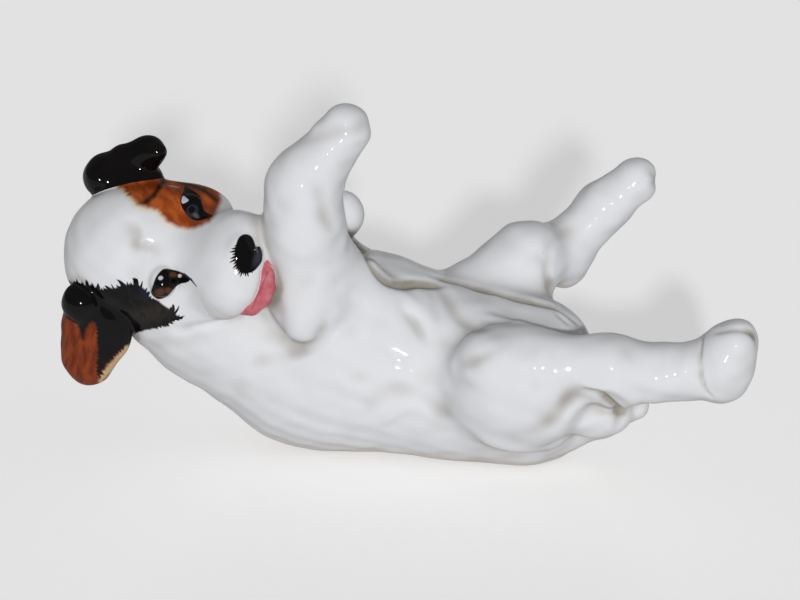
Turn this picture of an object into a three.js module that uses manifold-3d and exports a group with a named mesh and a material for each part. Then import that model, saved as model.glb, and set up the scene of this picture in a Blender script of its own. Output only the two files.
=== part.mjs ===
// A glazed china terrier puppy that lies on its back with its legs in the air and its head
// turned to one side. Millimetres, +Z up. The spine runs along X with the head at -X, the dog's
// right side is at -Y, and the origin is in the middle of the flat that the figurine rests on.
import * as THREE from "three";
import { mergeVertices } from "three/addons/utils/BufferGeometryUtils.js";
import Module from "manifold-3d";

const wasm = await Module();
wasm.setup();

// Casting: hollow shells stuck together with slip
const WALL = 3;
const SEAM = 0.3;
const VENT_DIAMETER = 3;
const VENT_BACK = 11;
const NECK_BORE_DIAMETER = 10;

// Body: three swellings along the spine, each sunk into the ground before the flat is cut
const CHEST_LENGTH = 37;
const CHEST_WIDTH = 31.2;
const CHEST_DEPTH = 32;
const CHEST_FORWARD = 11.4;
const CHEST_SINK = 0.4;
const BELLY_LENGTH = 40;
const BELLY_WIDTH = 29.2;
const BELLY_DEPTH = 28;
const BELLY_BACK = 5.5;
const BELLY_SINK = 1.2;
const RUMP_LENGTH = 19.2;
const RUMP_WIDTH = 25;
const RUMP_DEPTH = 24.8;
const RUMP_BACK = 16.7;
const RUMP_SINK = 0.5;
const BODY_BLEND = 8;

// Neck: its root is placed from the chest, its middle and its top from the skull
const NECK_ROOT = [-9, -0.8, -0.6];
const NECK_MIDDLE = [10.2, 2.4, -8.9];
const NECK_TOP = [3.4, 0.6, -3.8];
const NECK_ROOT_DIAMETER = 29.6;
const NECK_MIDDLE_DIAMETER = 23.2;
const NECK_TOP_DIAMETER = 20.8;
const NECK_BLEND = 8;
const NECK_JOINT_FROM_SKULL = 8;

// Head: placed from the chest, and turned by three angles in degrees
const SKULL_FORWARD = 33.3;
const SKULL_RIGHT = 6.4;
const SKULL_RISE = 17.1;
const HEAD_HEADING = -43.5;
const HEAD_TILT = -20.4;
const HEAD_ROLL = 57.2;

// Head in its own frame, from the skull's middle: X to the nose, Y to the dog's left, Z to the crown
const SKULL_SIZE = [21.6, 22.6, 20.8];
const CROWN_PLACE = [-1.6, -1.2, 3.4];
const CROWN_SIZE = [19, 19.6, 17.6];
const FACE_PLACE = [7, -0.2, -4.6];
const FACE_SIZE = [16.8, 18.8, 14.4];
const MUZZLE_PLACE = [14.5, -0.4, -5.8];
const MUZZLE_SIZE = [18.8, 15.2, 12];
const LEFT_LIP_PLACE = [3.7, 3.7, -0.7];
const LEFT_LIP_SIZE = [9.2, 7.2, 8.4];
const RIGHT_LIP_PLACE = [3.8, -3.6, -1];
const RIGHT_LIP_SIZE = [10.2, 9.2, 8.8];
const NOSE_PLACE = [7.3, 0.4, 1.4];
const NOSE_SIZE = [4.4, 6.2, 4.8];
const CHEEK_PLACE = [3, 7.7, -4.7];
const CHEEK_SIZE = [14.5, 9, 11.8];
const BROW_PLACE = [7.6, 5.6, 1.8];
const BROW_SIZE = [6, 6.4, 4.6];
const LEFT_EYE_PLACE = [10, 6.3, -0.2];
const RIGHT_EYE_PLACE = [10.9, -6.3, 1.4];
const EYE_SIZE = [4, 4.6, 4];
const JAW_PLACE = [5, -1.5, -10];
const CHIN_PLACE = [14, -2.5, -10.8];
const JAW_DIAMETER = 9.8;
const CHIN_DIAMETER = 7.2;
const FACE_BLEND = 4;
const FEATURE_BLEND = 1;

// Tongue: a crescent round the front of the right lip, from its upper end to the corner of the mouth
const TONGUE_PLACE = [8.6, -0.1, -2.4];
const TONGUE_BENDS = [
  [0.4, -1.5, -1],
  [-0.1, -1.8, -0.6],
  [-0.7, -1.7, -0.2],
  [-1.5, -1.6, 0.5],
  [-1.6, -0.7, 0.3],
];
const TONGUE_DIAMETERS = [1.2, 2.2, 2.5, 2.4, 2.1, 1.2];
const TONGUE_BLEND = 0.8;

// Ears, placed from the skull's middle along the body's axes. The left one is folded over its
// tip, and the right one hangs open from a knob.
const LEFT_EAR_PLACE = [-4.4, 4.3, 10.2];
const LEFT_EAR_SIZE = [12.4, 9.2, 6.8];
const LEFT_EAR_BACK_PLACE = [-7.6, 3.7, 10.8];
const LEFT_EAR_BACK_SIZE = [5.8, 8, 6.4];
const LEFT_EAR_FOLD = [[-4, 4.6, 13.4], [-0.3, 4.3, 15], [1.6, 3.1, 15.4]];
const LEFT_EAR_FOLD_DIAMETERS = [5, 4.4, 2.6];
const RIGHT_EAR_KNOB_PLACE = [-8.4, -9.1, -5.8];
const RIGHT_EAR_KNOB_SIZE = [6, 6.4, 6.2];
const RIGHT_EAR_FLAP_PLACE = [-6.2, -8.2, -10.8];
const RIGHT_EAR_FLAP_SIZE = [11.4, 4.8, 12];
const RIGHT_EAR_TIP_PLACE = [-7.9, -7.9, -15.4];
const RIGHT_EAR_TIP_SIZE = [8.8, 4.2, 10.2];
const EAR_BLEND = 2.5;

// Right foreleg: raised straight up, with its paw bent back over the belly. Its breast muscle
// spreads from above the elbow over the chest.
const SHOULDER_INSET = 5.4;
const SHOULDER_SIZE = [16, 13, 18];
const RIGHT_SHOULDER_PLACE = [-1.8, 0.5, 4.1];
const RIGHT_UPPER_ARM = [-3.9, -3.3, 9.8];
const RIGHT_FOREARM = [-0.4, -0.6, 11.7];
const RIGHT_PASTERN = [-0.3, 0.2, 6.8];
const RIGHT_FOREPAW = [6.5, 1.9, 8.9];
const RIGHT_FORELEG_DIAMETERS = [12.4, 11.2, 10, 7.8];
const BREAST_TOP = [1.6, 2.5, 5.5];
const BREAST_END = [5, 2.7, 6.5];
const BREAST_DIAMETER = 10;
const RIGHT_ELBOW_PLACE = [-0.3, -3, -2.5];
const RIGHT_ELBOW_SIZE = [6.4, 7, 8];

// Left foreleg: shorter, with its paw folded down
const LEFT_SHOULDER_PLACE = [-4.5, 0.4, 4.6];
const LEFT_UPPER_ARM = [-3.4, 2.4, 3.7];
const LEFT_FOREARM = [-3.6, -1.8, 9.1];
const LEFT_FOREPAW = [6.6, -1.2, 1.8];
const LEFT_FORELEG_DIAMETERS = [10.8, 9, 7.2];

// Right hind leg: stretched out behind a heavy haunch, with the buttock under it
const HIP_INSET = 3.6;
const RIGHT_HIP_PLACE = [-1.2, -0.5, 4.1];
const HAUNCH_SIZE = [23.6, 17, 19.6];
const RIGHT_THIGH = [-3.4, -3.1, 5];
const RIGHT_SHANK = [18, 1.6, 0.2];
const RIGHT_HOCK = [7.1, 1, -1.1];
const RIGHT_PAW_ROOT = [5.3, 0.8, 0.6];
const RIGHT_HIND_LEG_DIAMETERS = [10.2, 8.8, 7.6, 9];
const RIGHT_HIND_PAW_PLACE = [5.2, 1.2, 1.5];
const RIGHT_HIND_PAW_SIZE = [9.6, 11, 11.6];
const RIGHT_TOES_PLACE = [7.2, 1.2, 5.2];
const RIGHT_TOES_SIZE = [6, 8, 6];
const RIGHT_PAD_PLACE = [4.6, 1.2, -1.8];
const RIGHT_PAD_SIZE = [6.8, 8.4, 6.2];
const RIGHT_HEEL_PLACE = [1.5, -0.1, -4.4];
const RIGHT_HEEL_SIZE = [6.8, 5.2, 4.8];
const BUTTOCK_PLACE = [12, 2.5, -4];
const BUTTOCK_SIZE = [12, 9, 9];

// Left hind leg: bent at the knee, and raised, with a thigh as broad as from the hip to the groin
const LEFT_HIP_PLACE = [-7.6, -3.4, 4.8];
const LEFT_GROIN_PLACE = [-6.2, 0.4, 4.4];
const LEFT_THIGH = [4, 5.4, 11.4];
const LEFT_THIGH_DIAMETERS = [17, 9.2];
const LEFT_GROIN_DIAMETERS = [11.4, 9.6];
const LEFT_SHANK = [5.1, 6.4, -1.1];
const LEFT_HOCK = [5.8, 3.6, 6.6];
const LEFT_HIND_PAW = [5.1, 1.4, 4.5];
const LEFT_HIND_LEG_DIAMETERS = [9, 8.4, 7.2, 7.4];
const LEFT_HEEL_PLACE = [0.2, 0.6, -3.5];
const LEFT_HEEL_SIZE = [5.6, 5.4, 5.6];
const LIMB_BLEND = 5;
const JOINT_BLEND = 3;

// Tail: it comes out under the rump and curls up beside the buttock
const TAIL_PLACE = [3.2, -1.6, -8.5];
const TAIL_DOCK = [7.9, -2.9, 4.9];
const TAIL_TIP = [5.6, -2, 3.9];
const TAIL_DIAMETERS = [6.4, 5.2, 4.6];

// Colours of the glaze and of the enamel painted under it
const CHINA_WHITE = 0xe6e6e8;
const EAR_BLACK = 0x17100f;
const EAR_RUST = 0x6b3116;
const TONGUE_PINK = 0xc8566c;
const GLAZE_ROUGHNESS = 0.12;
const GLAZE_METALNESS = 0;

// Sides and rings of each skin, and the working limits of the modelling below
const BODY_MESH = [32, 26];
const BODY_HOLLOW_MESH = [24, 14];
const HEAD_MESH = [28, 12];
const HEAD_HOLLOW_MESH = [20, 4];
const LEG_MESH = [20, 18];
const THIGH_MESH = [20, 8];
const EAR_MESH = [16, 14];
const TAIL_MESH = [12, 10];
const TONGUE_MESH = [12, 10];
const HOLE_SIDES = 24;
const CUTTER_SIZE = 240;
const TINY = 1e-6;
const SLIDE_SHORTEST = 0.05;
const SLIDE_LONGEST = 1;
const BISECTIONS = 18;
const CRUMB_VOLUME = 0.001;

const at = (x, y, z) => new THREE.Vector3(x, y, z);
const from = (start, offset) => start.clone().add(at(...offset));
const mirrored = ([x, y, z]) => [x, -y, z];

// Muscles, from which each casting is modelled: an ellipsoid and a limb between two spheres.
// A muscle's distance is below zero inside it, and blend rounds the corner to those before it.
function ball(centre, size, blend = 0) {
  const half = at(...size).multiplyScalar(0.5);
  return {
    blend,
    distance(point) {
      const scaled = point.clone().sub(centre).divide(half);
      const near = scaled.length();
      if (near < TINY) return -Math.min(...half);
      return near * (near - 1) / scaled.divide(half).length();
    },
  };
}

function limb(start, end, startDiameter, endDiameter, blend = 0) {
  const axis = end.clone().sub(start);
  const length = axis.length();
  axis.divideScalar(length);
  const slope = (startDiameter - endDiameter) / 2 / length;
  const cosine = Math.sqrt(1 - slope * slope);
  return {
    blend,
    distance(point) {
      const offset = point.clone().sub(start);
      const height = offset.dot(axis);
      const reach = Math.sqrt(Math.max(offset.lengthSq() - height * height, 0));
      const side = height * cosine - reach * slope;
      if (side < 0) return offset.length() - startDiameter / 2;
      if (side > cosine * length) return Math.hypot(reach, height - length) - endDiameter / 2;
      return reach * cosine + height * slope - startDiameter / 2;
    },
  };
}

// Limbs from joint to joint, each joint with its diameter
function chain(joints, diameters, blend) {
  const limbs = [];
  for (let i = 1; i < joints.length; i++) {
    limbs.push(limb(joints[i - 1], joints[i], diameters[i - 1], diameters[i], blend));
  }
  return limbs;
}

// Joints found by walking from a start, bone by bone
function walk(start, bones) {
  const joints = [start];
  for (const bone of bones) joints.push(from(joints.at(-1), bone));
  return joints;
}

function distanceTo(muscles, point) {
  return muscles.reduce((nearest, muscle) => {
    const distance = muscle.distance(point);
    const round = Math.max(muscle.blend, TINY);
    const share = Math.max(round - Math.abs(nearest - distance), 0) / round;
    return Math.min(nearest, distance) - share ** 3 * round / 6;
  }, Infinity);
}

// From a start inside, outwards to the first point at the wanted distance from the muscles
function slide(muscles, start, outwards, wanted) {
  const point = start.clone();
  let inside = 0;
  let outside = 0;
  for (let found = distanceTo(muscles, point); found < wanted; found = distanceTo(muscles, point)) {
    inside = outside;
    outside += THREE.MathUtils.clamp((wanted - found) / 2, SLIDE_SHORTEST, SLIDE_LONGEST);
    point.copy(start).addScaledVector(outwards, outside);
  }
  for (let i = 0; i < BISECTIONS; i++) {
    const middle = (inside + outside) / 2;
    point.copy(start).addScaledVector(outwards, middle);
    if (distanceTo(muscles, point) < wanted) inside = middle;
    else outside = middle;
  }
  return point;
}

// The skin over some muscles: a capsule bent along a spine, with each of its points slid outwards
function skin(muscles, spinePoints, [sides, rings], distance = 0) {
  const spine = new THREE.CatmullRomCurve3(spinePoints);
  const geometry = new THREE.CapsuleGeometry(1, 1, Math.round(sides / 4), sides, rings);
  const position = geometry.attributes.position;
  const turn = new THREE.Quaternion();
  for (let i = 0; i < position.count; i++) {
    const core = at(0, THREE.MathUtils.clamp(position.getY(i), -0.5, 0.5), 0);
    const along = core.y + 0.5;
    turn.setFromUnitVectors(at(0, 1, 0), spine.getTangentAt(along));
    const outwards = at(0, 0, 0).fromBufferAttribute(position, i).sub(core).normalize();
    const point = slide(muscles, spine.getPointAt(along), outwards.applyQuaternion(turn), distance);
    position.setXYZ(i, ...point);
  }
  return geometry;
}

// Solids are joined and cut as manifolds, made from geometry whose double points are merged
function solid(geometry) {
  const bare = geometry.clone();
  bare.deleteAttribute("normal");
  bare.deleteAttribute("uv");
  const merged = mergeVertices(bare);
  const corners = merged.index.array;
  const faces = [];
  for (let i = 0; i < corners.length; i += 3) {
    const face = [corners[i], corners[i + 1], corners[i + 2]];
    if (new Set(face).size === 3) faces.push(...face);
  }
  const vertProperties = Float32Array.from(merged.attributes.position.array);
  return new wasm.Manifold(new wasm.Mesh({ numProp: 3, vertProperties, triVerts: Uint32Array.from(faces) }));
}

// Cutting leaves crumbs where two skins only graze each other, and these are brushed off
function cut(body, ...tools) {
  const rest = tools.reduce((left, tool) => left.subtract(tool), body);
  const bodies = rest.decompose().filter((part) => part.volume() > CRUMB_VOLUME);
  return bodies.reduce((whole, part) => whole.add(part));
}

const figurine = new THREE.Group();
const headGroup = new THREE.Group();
figurine.add(headGroup);

function piece(group, name, body, color) {
  const mesh = body.getMesh();
  const geometry = new THREE.BufferGeometry();
  geometry.setAttribute("position", new THREE.BufferAttribute(Float32Array.from(mesh.vertProperties), 3));
  geometry.setIndex(new THREE.BufferAttribute(Uint32Array.from(mesh.triVerts), 1));
  geometry.applyMatrix4(group.matrixWorld.clone().invert());
  geometry.computeVertexNormals();
  const material = new THREE.MeshStandardMaterial({
    color,
    roughness: GLAZE_ROUGHNESS,
    metalness: GLAZE_METALNESS,
  });
  const part = new THREE.Mesh(geometry, material);
  part.name = name;
  group.add(part);
}

// Body and neck are one casting, from which everything else is set out
const chest = at(-CHEST_FORWARD, 0, CHEST_DEPTH / 2 - CHEST_SINK);
const belly = at(BELLY_BACK, 0, BELLY_DEPTH / 2 - BELLY_SINK);
const rump = at(RUMP_BACK, 0, RUMP_DEPTH / 2 - RUMP_SINK);
const skull = from(chest, [-SKULL_FORWARD, -SKULL_RIGHT, SKULL_RISE]);
const neckRoot = from(chest, NECK_ROOT);
const neckMiddle = from(skull, NECK_MIDDLE);
const neckTop = from(skull, NECK_TOP);
const neckDiameters = [NECK_ROOT_DIAMETER, NECK_MIDDLE_DIAMETER, NECK_TOP_DIAMETER];
const bodyMuscles = [
  ball(chest, [CHEST_LENGTH, CHEST_WIDTH, CHEST_DEPTH]),
  ball(belly, [BELLY_LENGTH, BELLY_WIDTH, BELLY_DEPTH], BODY_BLEND),
  ball(rump, [RUMP_LENGTH, RUMP_WIDTH, RUMP_DEPTH], BODY_BLEND),
  ...chain([neckRoot, neckMiddle, neckTop], neckDiameters, NECK_BLEND),
];
const bodySpine = [rump, belly, chest, neckMiddle, neckTop];
const wholeBody = solid(skin(bodyMuscles, bodySpine, BODY_MESH));
const bodyRoom = solid(skin(bodyMuscles, bodySpine, BODY_MESH, SEAM));
const hollowEnd = rump.clone().lerp(belly, 0.2);
const bodyHollow = solid(skin(bodyMuscles, [hollowEnd, belly, chest, neckMiddle], BODY_HOLLOW_MESH, -WALL));

// Head, modelled in its own frame and then turned into place
headGroup.position.copy(skull);
headGroup.rotation.set(...[HEAD_ROLL, HEAD_TILT, HEAD_HEADING].map(THREE.MathUtils.degToRad), "ZYX");
headGroup.updateMatrixWorld(true);
const muzzle = at(...MUZZLE_PLACE);
const headMuscles = [
  ball(at(0, 0, 0), SKULL_SIZE),
  ball(at(...CROWN_PLACE), CROWN_SIZE, FACE_BLEND),
  ball(at(...FACE_PLACE), FACE_SIZE, FACE_BLEND),
  ball(muzzle, MUZZLE_SIZE, FACE_BLEND),
  ball(from(muzzle, LEFT_LIP_PLACE), LEFT_LIP_SIZE, FACE_BLEND),
  ball(from(muzzle, RIGHT_LIP_PLACE), RIGHT_LIP_SIZE, FACE_BLEND),
  ball(at(...CHEEK_PLACE), CHEEK_SIZE, FACE_BLEND),
  ball(at(...mirrored(CHEEK_PLACE)), CHEEK_SIZE, FACE_BLEND),
  ball(at(...BROW_PLACE), BROW_SIZE, FACE_BLEND),
  ball(at(...mirrored(BROW_PLACE)), BROW_SIZE, FACE_BLEND),
  limb(at(...JAW_PLACE), at(...CHIN_PLACE), JAW_DIAMETER, CHIN_DIAMETER, FACE_BLEND),
  ball(at(...LEFT_EYE_PLACE), EYE_SIZE, FEATURE_BLEND),
  ball(at(...RIGHT_EYE_PLACE), EYE_SIZE, FEATURE_BLEND),
  ball(from(muzzle, NOSE_PLACE), NOSE_SIZE, FEATURE_BLEND),
];
function headSkin(mesh, reach, distance) {
  const inSkull = at(...CROWN_PLACE).multiplyScalar(0.5);
  const inMuzzle = inSkull.clone().lerp(muzzle, reach);
  return solid(skin(headMuscles, [inSkull, inMuzzle], mesh, distance).applyMatrix4(headGroup.matrixWorld));
}
const wholeHead = headSkin(HEAD_MESH, 1, 0);
const headRoom = headSkin(HEAD_MESH, 1, SEAM);
const headHollow = headSkin(HEAD_HOLLOW_MESH, 0.5, -WALL);

// The neck is cut square to its line, and the two hollows meet there through a bore
const neckLine = neckTop.clone().sub(neckMiddle).normalize();
const neckJoint = skull.clone().addScaledVector(neckLine, -NECK_JOINT_FROM_SKULL);
const squareToNeck = new THREE.Quaternion().setFromUnitVectors(at(0, 1, 0), neckLine);
function beyondNeck(gap) {
  const box = new THREE.BoxGeometry(CUTTER_SIZE, CUTTER_SIZE, CUTTER_SIZE);
  box.translate(0, CUTTER_SIZE / 2 + gap, 0);
  return solid(box.applyQuaternion(squareToNeck).translate(...neckJoint));
}
function hole(diameter, length) {
  return new THREE.CylinderGeometry(diameter / 2, diameter / 2, length, HOLE_SIDES);
}
const neckBoreLength = 2 * (WALL + NECK_JOINT_FROM_SKULL);
const neckBoreShape = hole(NECK_BORE_DIAMETER, neckBoreLength).applyQuaternion(squareToNeck);
const neckBore = solid(neckBoreShape.translate(...neckJoint));
const vent = solid(hole(VENT_DIAMETER, 4 * WALL).rotateX(Math.PI / 2).translate(VENT_BACK, 0, 0));
const groundBox = new THREE.BoxGeometry(CUTTER_SIZE, CUTTER_SIZE, CUTTER_SIZE);
const ground = solid(groundBox.translate(0, 0, -CUTTER_SIZE / 2));
const neckEnd = wholeBody.intersect(beyondNeck(SEAM / 2));
const torso = cut(wholeBody, beyondNeck(-SEAM / 2), headRoom, bodyHollow, vent, ground);
const head = cut(wholeHead.add(neckEnd), headHollow, neckBore);

// Right foreleg
const shoulderSide = CHEST_WIDTH / 2 - SHOULDER_INSET;
const rightShoulder = from(chest.clone().setY(-shoulderSide), RIGHT_SHOULDER_PLACE);
const rightElbow = from(rightShoulder, RIGHT_UPPER_ARM);
const rightForelegJoints = walk(rightElbow, [RIGHT_FOREARM, RIGHT_PASTERN, RIGHT_FOREPAW]);
const breastTop = from(rightElbow, BREAST_TOP);
const rightForelegMuscles = [
  ball(rightShoulder, SHOULDER_SIZE),
  ...chain(rightForelegJoints, RIGHT_FORELEG_DIAMETERS, LIMB_BLEND),
  limb(breastTop, from(rightShoulder, BREAST_END), BREAST_DIAMETER, BREAST_DIAMETER, LIMB_BLEND),
  ball(from(rightElbow, RIGHT_ELBOW_PLACE), RIGHT_ELBOW_SIZE, JOINT_BLEND),
];
const rightForelegSpine = [rightShoulder, ...rightForelegJoints];
const rightForeleg = solid(skin(rightForelegMuscles, rightForelegSpine, LEG_MESH));
const rightForelegRoom = solid(skin(rightForelegMuscles, rightForelegSpine, LEG_MESH, SEAM));

// Left foreleg
const leftShoulder = from(chest.clone().setY(shoulderSide), LEFT_SHOULDER_PLACE);
const leftForelegJoints = walk(from(leftShoulder, LEFT_UPPER_ARM), [LEFT_FOREARM, LEFT_FOREPAW]);
const leftForelegMuscles = [
  ball(leftShoulder, SHOULDER_SIZE),
  ...chain(leftForelegJoints, LEFT_FORELEG_DIAMETERS, LIMB_BLEND),
];
const leftForelegSpine = [leftShoulder.clone().lerp(leftForelegJoints[0], 0.3), leftForelegJoints[1]];
const leftForeleg = solid(skin(leftForelegMuscles, leftForelegSpine, LEG_MESH));

// Right hind leg, whose haunch and buttock are joined to the shank before it is seated
const hipSide = BELLY_WIDTH / 2 - HIP_INSET;
const rightHip = from(rump.clone().setY(-hipSide), RIGHT_HIP_PLACE);
const rightHindJoints = walk(from(rightHip, RIGHT_THIGH), [RIGHT_SHANK, RIGHT_HOCK, RIGHT_PAW_ROOT]);
const rightHindPaw = from(rightHindJoints[3], RIGHT_HIND_PAW_PLACE);
const buttock = from(rightHip, BUTTOCK_PLACE);
const haunchMuscles = [
  ball(rightHip, HAUNCH_SIZE),
  ball(buttock, BUTTOCK_SIZE, JOINT_BLEND),
];
const rightHindMuscles = [
  ball(rightHip, HAUNCH_SIZE),
  ...chain(rightHindJoints, RIGHT_HIND_LEG_DIAMETERS, LIMB_BLEND),
  ball(rightHindPaw, RIGHT_HIND_PAW_SIZE, JOINT_BLEND),
  ball(from(rightHindJoints[3], RIGHT_TOES_PLACE), RIGHT_TOES_SIZE, JOINT_BLEND),
  ball(from(rightHindJoints[3], RIGHT_PAD_PLACE), RIGHT_PAD_SIZE, JOINT_BLEND),
  ball(from(rightHindJoints[1], RIGHT_HEEL_PLACE), RIGHT_HEEL_SIZE, JOINT_BLEND),
];
const rightHindTop = rightHip.clone().lerp(rightHindJoints[0], 0.5);
const rightHindSpine = [rightHindTop, ...rightHindJoints.slice(1), rightHindPaw];
function rightHindSkin(distance) {
  const haunch = solid(skin(haunchMuscles, [rightHip, buttock], THIGH_MESH, distance));
  return haunch.add(solid(skin(rightHindMuscles, rightHindSpine, LEG_MESH, distance)));
}

// Left hind leg, whose thigh and shank are joined before it is seated
const leftHip = from(rump.clone().setY(hipSide), LEFT_HIP_PLACE);
const leftGroin = from(leftHip, LEFT_GROIN_PLACE);
const leftKnee = from(leftHip, LEFT_THIGH);
const leftHindJoints = walk(leftKnee, [LEFT_SHANK, LEFT_HOCK, LEFT_HIND_PAW]);
const leftThighMuscles = [
  ...chain([leftHip, leftKnee], LEFT_THIGH_DIAMETERS, 0),
  ...chain([leftGroin, leftKnee], LEFT_GROIN_DIAMETERS, LIMB_BLEND),
];
const leftShankMuscles = [
  ...chain(leftHindJoints, LEFT_HIND_LEG_DIAMETERS, LIMB_BLEND),
  ball(from(leftHindJoints[1], LEFT_HEEL_PLACE), LEFT_HEEL_SIZE, JOINT_BLEND),
];
const leftThighSpine = [leftHip.clone().lerp(leftGroin, 0.5), leftKnee];
const leftThigh = solid(skin(leftThighMuscles, leftThighSpine, THIGH_MESH));
const leftHindLeg = leftThigh.add(solid(skin(leftShankMuscles, leftHindJoints, LEG_MESH)));

// Tail
const tailJoints = walk(from(rump, TAIL_PLACE), [TAIL_DOCK, TAIL_TIP]);
const tail = solid(skin(chain(tailJoints, TAIL_DIAMETERS, JOINT_BLEND), tailJoints, TAIL_MESH));

// Ears
const leftEarFold = LEFT_EAR_FOLD.map((place) => from(skull, place));
const leftEarBack = from(skull, LEFT_EAR_BACK_PLACE);
const leftEarMuscles = [
  ball(from(skull, LEFT_EAR_PLACE), LEFT_EAR_SIZE),
  ball(leftEarBack, LEFT_EAR_BACK_SIZE, EAR_BLEND),
  ...chain(leftEarFold, LEFT_EAR_FOLD_DIAMETERS, EAR_BLEND),
];
const leftEar = solid(skin(leftEarMuscles, [leftEarBack, ...leftEarFold], EAR_MESH));
const rightEarKnob = from(skull, RIGHT_EAR_KNOB_PLACE);
const rightEarFlap = from(skull, RIGHT_EAR_FLAP_PLACE);
const rightEarTip = from(skull, RIGHT_EAR_TIP_PLACE);
const rightEarMuscles = [
  ball(rightEarKnob, RIGHT_EAR_KNOB_SIZE),
  ball(rightEarFlap, RIGHT_EAR_FLAP_SIZE, EAR_BLEND),
  ball(rightEarTip, RIGHT_EAR_TIP_SIZE, EAR_BLEND),
];
const rightEar = solid(skin(rightEarMuscles, [rightEarKnob, rightEarTip], EAR_MESH));

// Tongue, out at the right of the mouth
const tongueJoints = walk(from(muzzle, TONGUE_PLACE), TONGUE_BENDS);
const tongueMuscles = chain(tongueJoints, TONGUE_DIAMETERS, TONGUE_BLEND);
const tongueShape = skin(tongueMuscles, tongueJoints, TONGUE_MESH);
const tongue = solid(tongueShape.applyMatrix4(headGroup.matrixWorld));

// Each casting is cut to its seat on those that carry it
piece(figurine, "torso", torso, CHINA_WHITE);
piece(headGroup, "head", head, CHINA_WHITE);
piece(headGroup, "left_ear", cut(leftEar, headRoom), EAR_BLACK);
piece(headGroup, "right_ear", cut(rightEar, headRoom, bodyRoom), EAR_RUST);
piece(headGroup, "tongue", cut(tongue, headRoom, bodyRoom, rightForelegRoom), TONGUE_PINK);
piece(figurine, "right_foreleg", cut(rightForeleg, bodyRoom, headRoom), CHINA_WHITE);
piece(figurine, "left_foreleg", cut(leftForeleg, bodyRoom), CHINA_WHITE);
piece(figurine, "right_hind_leg", cut(rightHindSkin(0), bodyRoom), CHINA_WHITE);
piece(figurine, "left_hind_leg", cut(leftHindLeg, bodyRoom), CHINA_WHITE);
piece(figurine, "tail", cut(tail, bodyRoom, rightHindSkin(SEAM), ground), CHINA_WHITE);

export default figurine;
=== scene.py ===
"""A glazed china terrier puppy that lies on its back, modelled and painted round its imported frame.

The muscles below repeat the castings of the part's source in millimetres. They are blended into
one skin, the skin is cut into the castings' pieces, and the enamel is painted on it."""

import math
from concurrent.futures import ThreadPoolExecutor
from itertools import combinations

import bpy
import numpy as np
from bpy.props import FloatProperty, FloatVectorProperty, PointerProperty
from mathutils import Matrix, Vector


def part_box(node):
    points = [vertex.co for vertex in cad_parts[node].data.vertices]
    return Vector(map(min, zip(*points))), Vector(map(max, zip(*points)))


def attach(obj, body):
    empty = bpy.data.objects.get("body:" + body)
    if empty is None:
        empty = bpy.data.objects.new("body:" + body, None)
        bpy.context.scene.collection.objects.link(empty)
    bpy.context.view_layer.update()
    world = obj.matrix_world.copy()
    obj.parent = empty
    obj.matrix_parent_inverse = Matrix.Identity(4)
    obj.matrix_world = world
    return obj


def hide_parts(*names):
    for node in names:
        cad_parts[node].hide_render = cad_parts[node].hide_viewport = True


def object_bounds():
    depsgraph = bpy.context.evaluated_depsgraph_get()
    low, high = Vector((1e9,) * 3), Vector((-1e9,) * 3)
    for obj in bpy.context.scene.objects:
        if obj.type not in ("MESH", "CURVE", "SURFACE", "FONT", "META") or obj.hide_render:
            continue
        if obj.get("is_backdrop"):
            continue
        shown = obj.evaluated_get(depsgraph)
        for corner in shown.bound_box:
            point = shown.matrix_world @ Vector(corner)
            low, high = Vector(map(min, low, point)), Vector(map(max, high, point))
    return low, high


bl_info = {
    "name": "Dog figurine",
    "version": (1, 0, 0),
    "blender": (4, 5, 0),
    "location": "View3D > Sidebar > Figurine",
    "description": "Models, glazes and paints a china terrier puppy round its packed frame",
    "category": "Object",
}

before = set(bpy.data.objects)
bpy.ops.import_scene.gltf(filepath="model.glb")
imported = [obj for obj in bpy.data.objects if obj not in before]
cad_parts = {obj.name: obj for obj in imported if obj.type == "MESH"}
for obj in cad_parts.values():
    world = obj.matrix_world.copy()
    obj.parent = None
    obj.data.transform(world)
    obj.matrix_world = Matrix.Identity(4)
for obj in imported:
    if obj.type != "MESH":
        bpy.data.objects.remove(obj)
cad_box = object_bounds()

MM = 0.001
TINY = 1e-6

# The photograph's view: millimetres from the middle of the flat, and degrees
VIEW_TARGET = np.array((-4.3, -4.1, 26.2))
VIEW_AZIMUTH = 10.4
VIEW_ELEVATION = 22
VIEW_DISTANCE = 600
PICTURE_SIZE = (800, 600)
PIXELS_PER_MM = 6.35
SENSOR_WIDTH = 36


def millimetres(*values):
    return np.array(values, float)


# Body
CHEST = millimetres(-11.4, 0, 15.6)
CHEST_SIZE = (37, 31.2, 32)
BELLY = millimetres(5.5, 0, 12.8)
BELLY_SIZE = (40, 29.2, 28)
RUMP = millimetres(16.7, 0, 11.9)
RUMP_SIZE = (19.2, 25, 24.8)
BODY_BLEND = 8

# Head: turned by three angles in degrees about X, Y and Z
SKULL = CHEST + (-33.3, -6.4, 17.1)
HEAD_TURN = (57.2, -20.4, -43.5)

# Neck
NECK_ROOT = CHEST + (-9, -0.8, -0.6)
NECK_MIDDLE = SKULL + (10.2, 2.4, -8.9)
NECK_TOP = SKULL + (3.4, 0.6, -3.8)
NECK_BLEND = 8
NECK_JOINT_FROM_SKULL = 8


def turned(angles):
    """The columns are the turned X, Y and Z axes."""
    x, y, z = np.radians(angles)
    about_x = [[1, 0, 0], [0, math.cos(x), -math.sin(x)], [0, math.sin(x), math.cos(x)]]
    about_y = [[math.cos(y), 0, math.sin(y)], [0, 1, 0], [-math.sin(y), 0, math.cos(y)]]
    about_z = [[math.cos(z), -math.sin(z), 0], [math.sin(z), math.cos(z), 0], [0, 0, 1]]
    return np.array(about_z) @ np.array(about_y) @ np.array(about_x)


HEAD_AXES = turned(HEAD_TURN)


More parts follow.
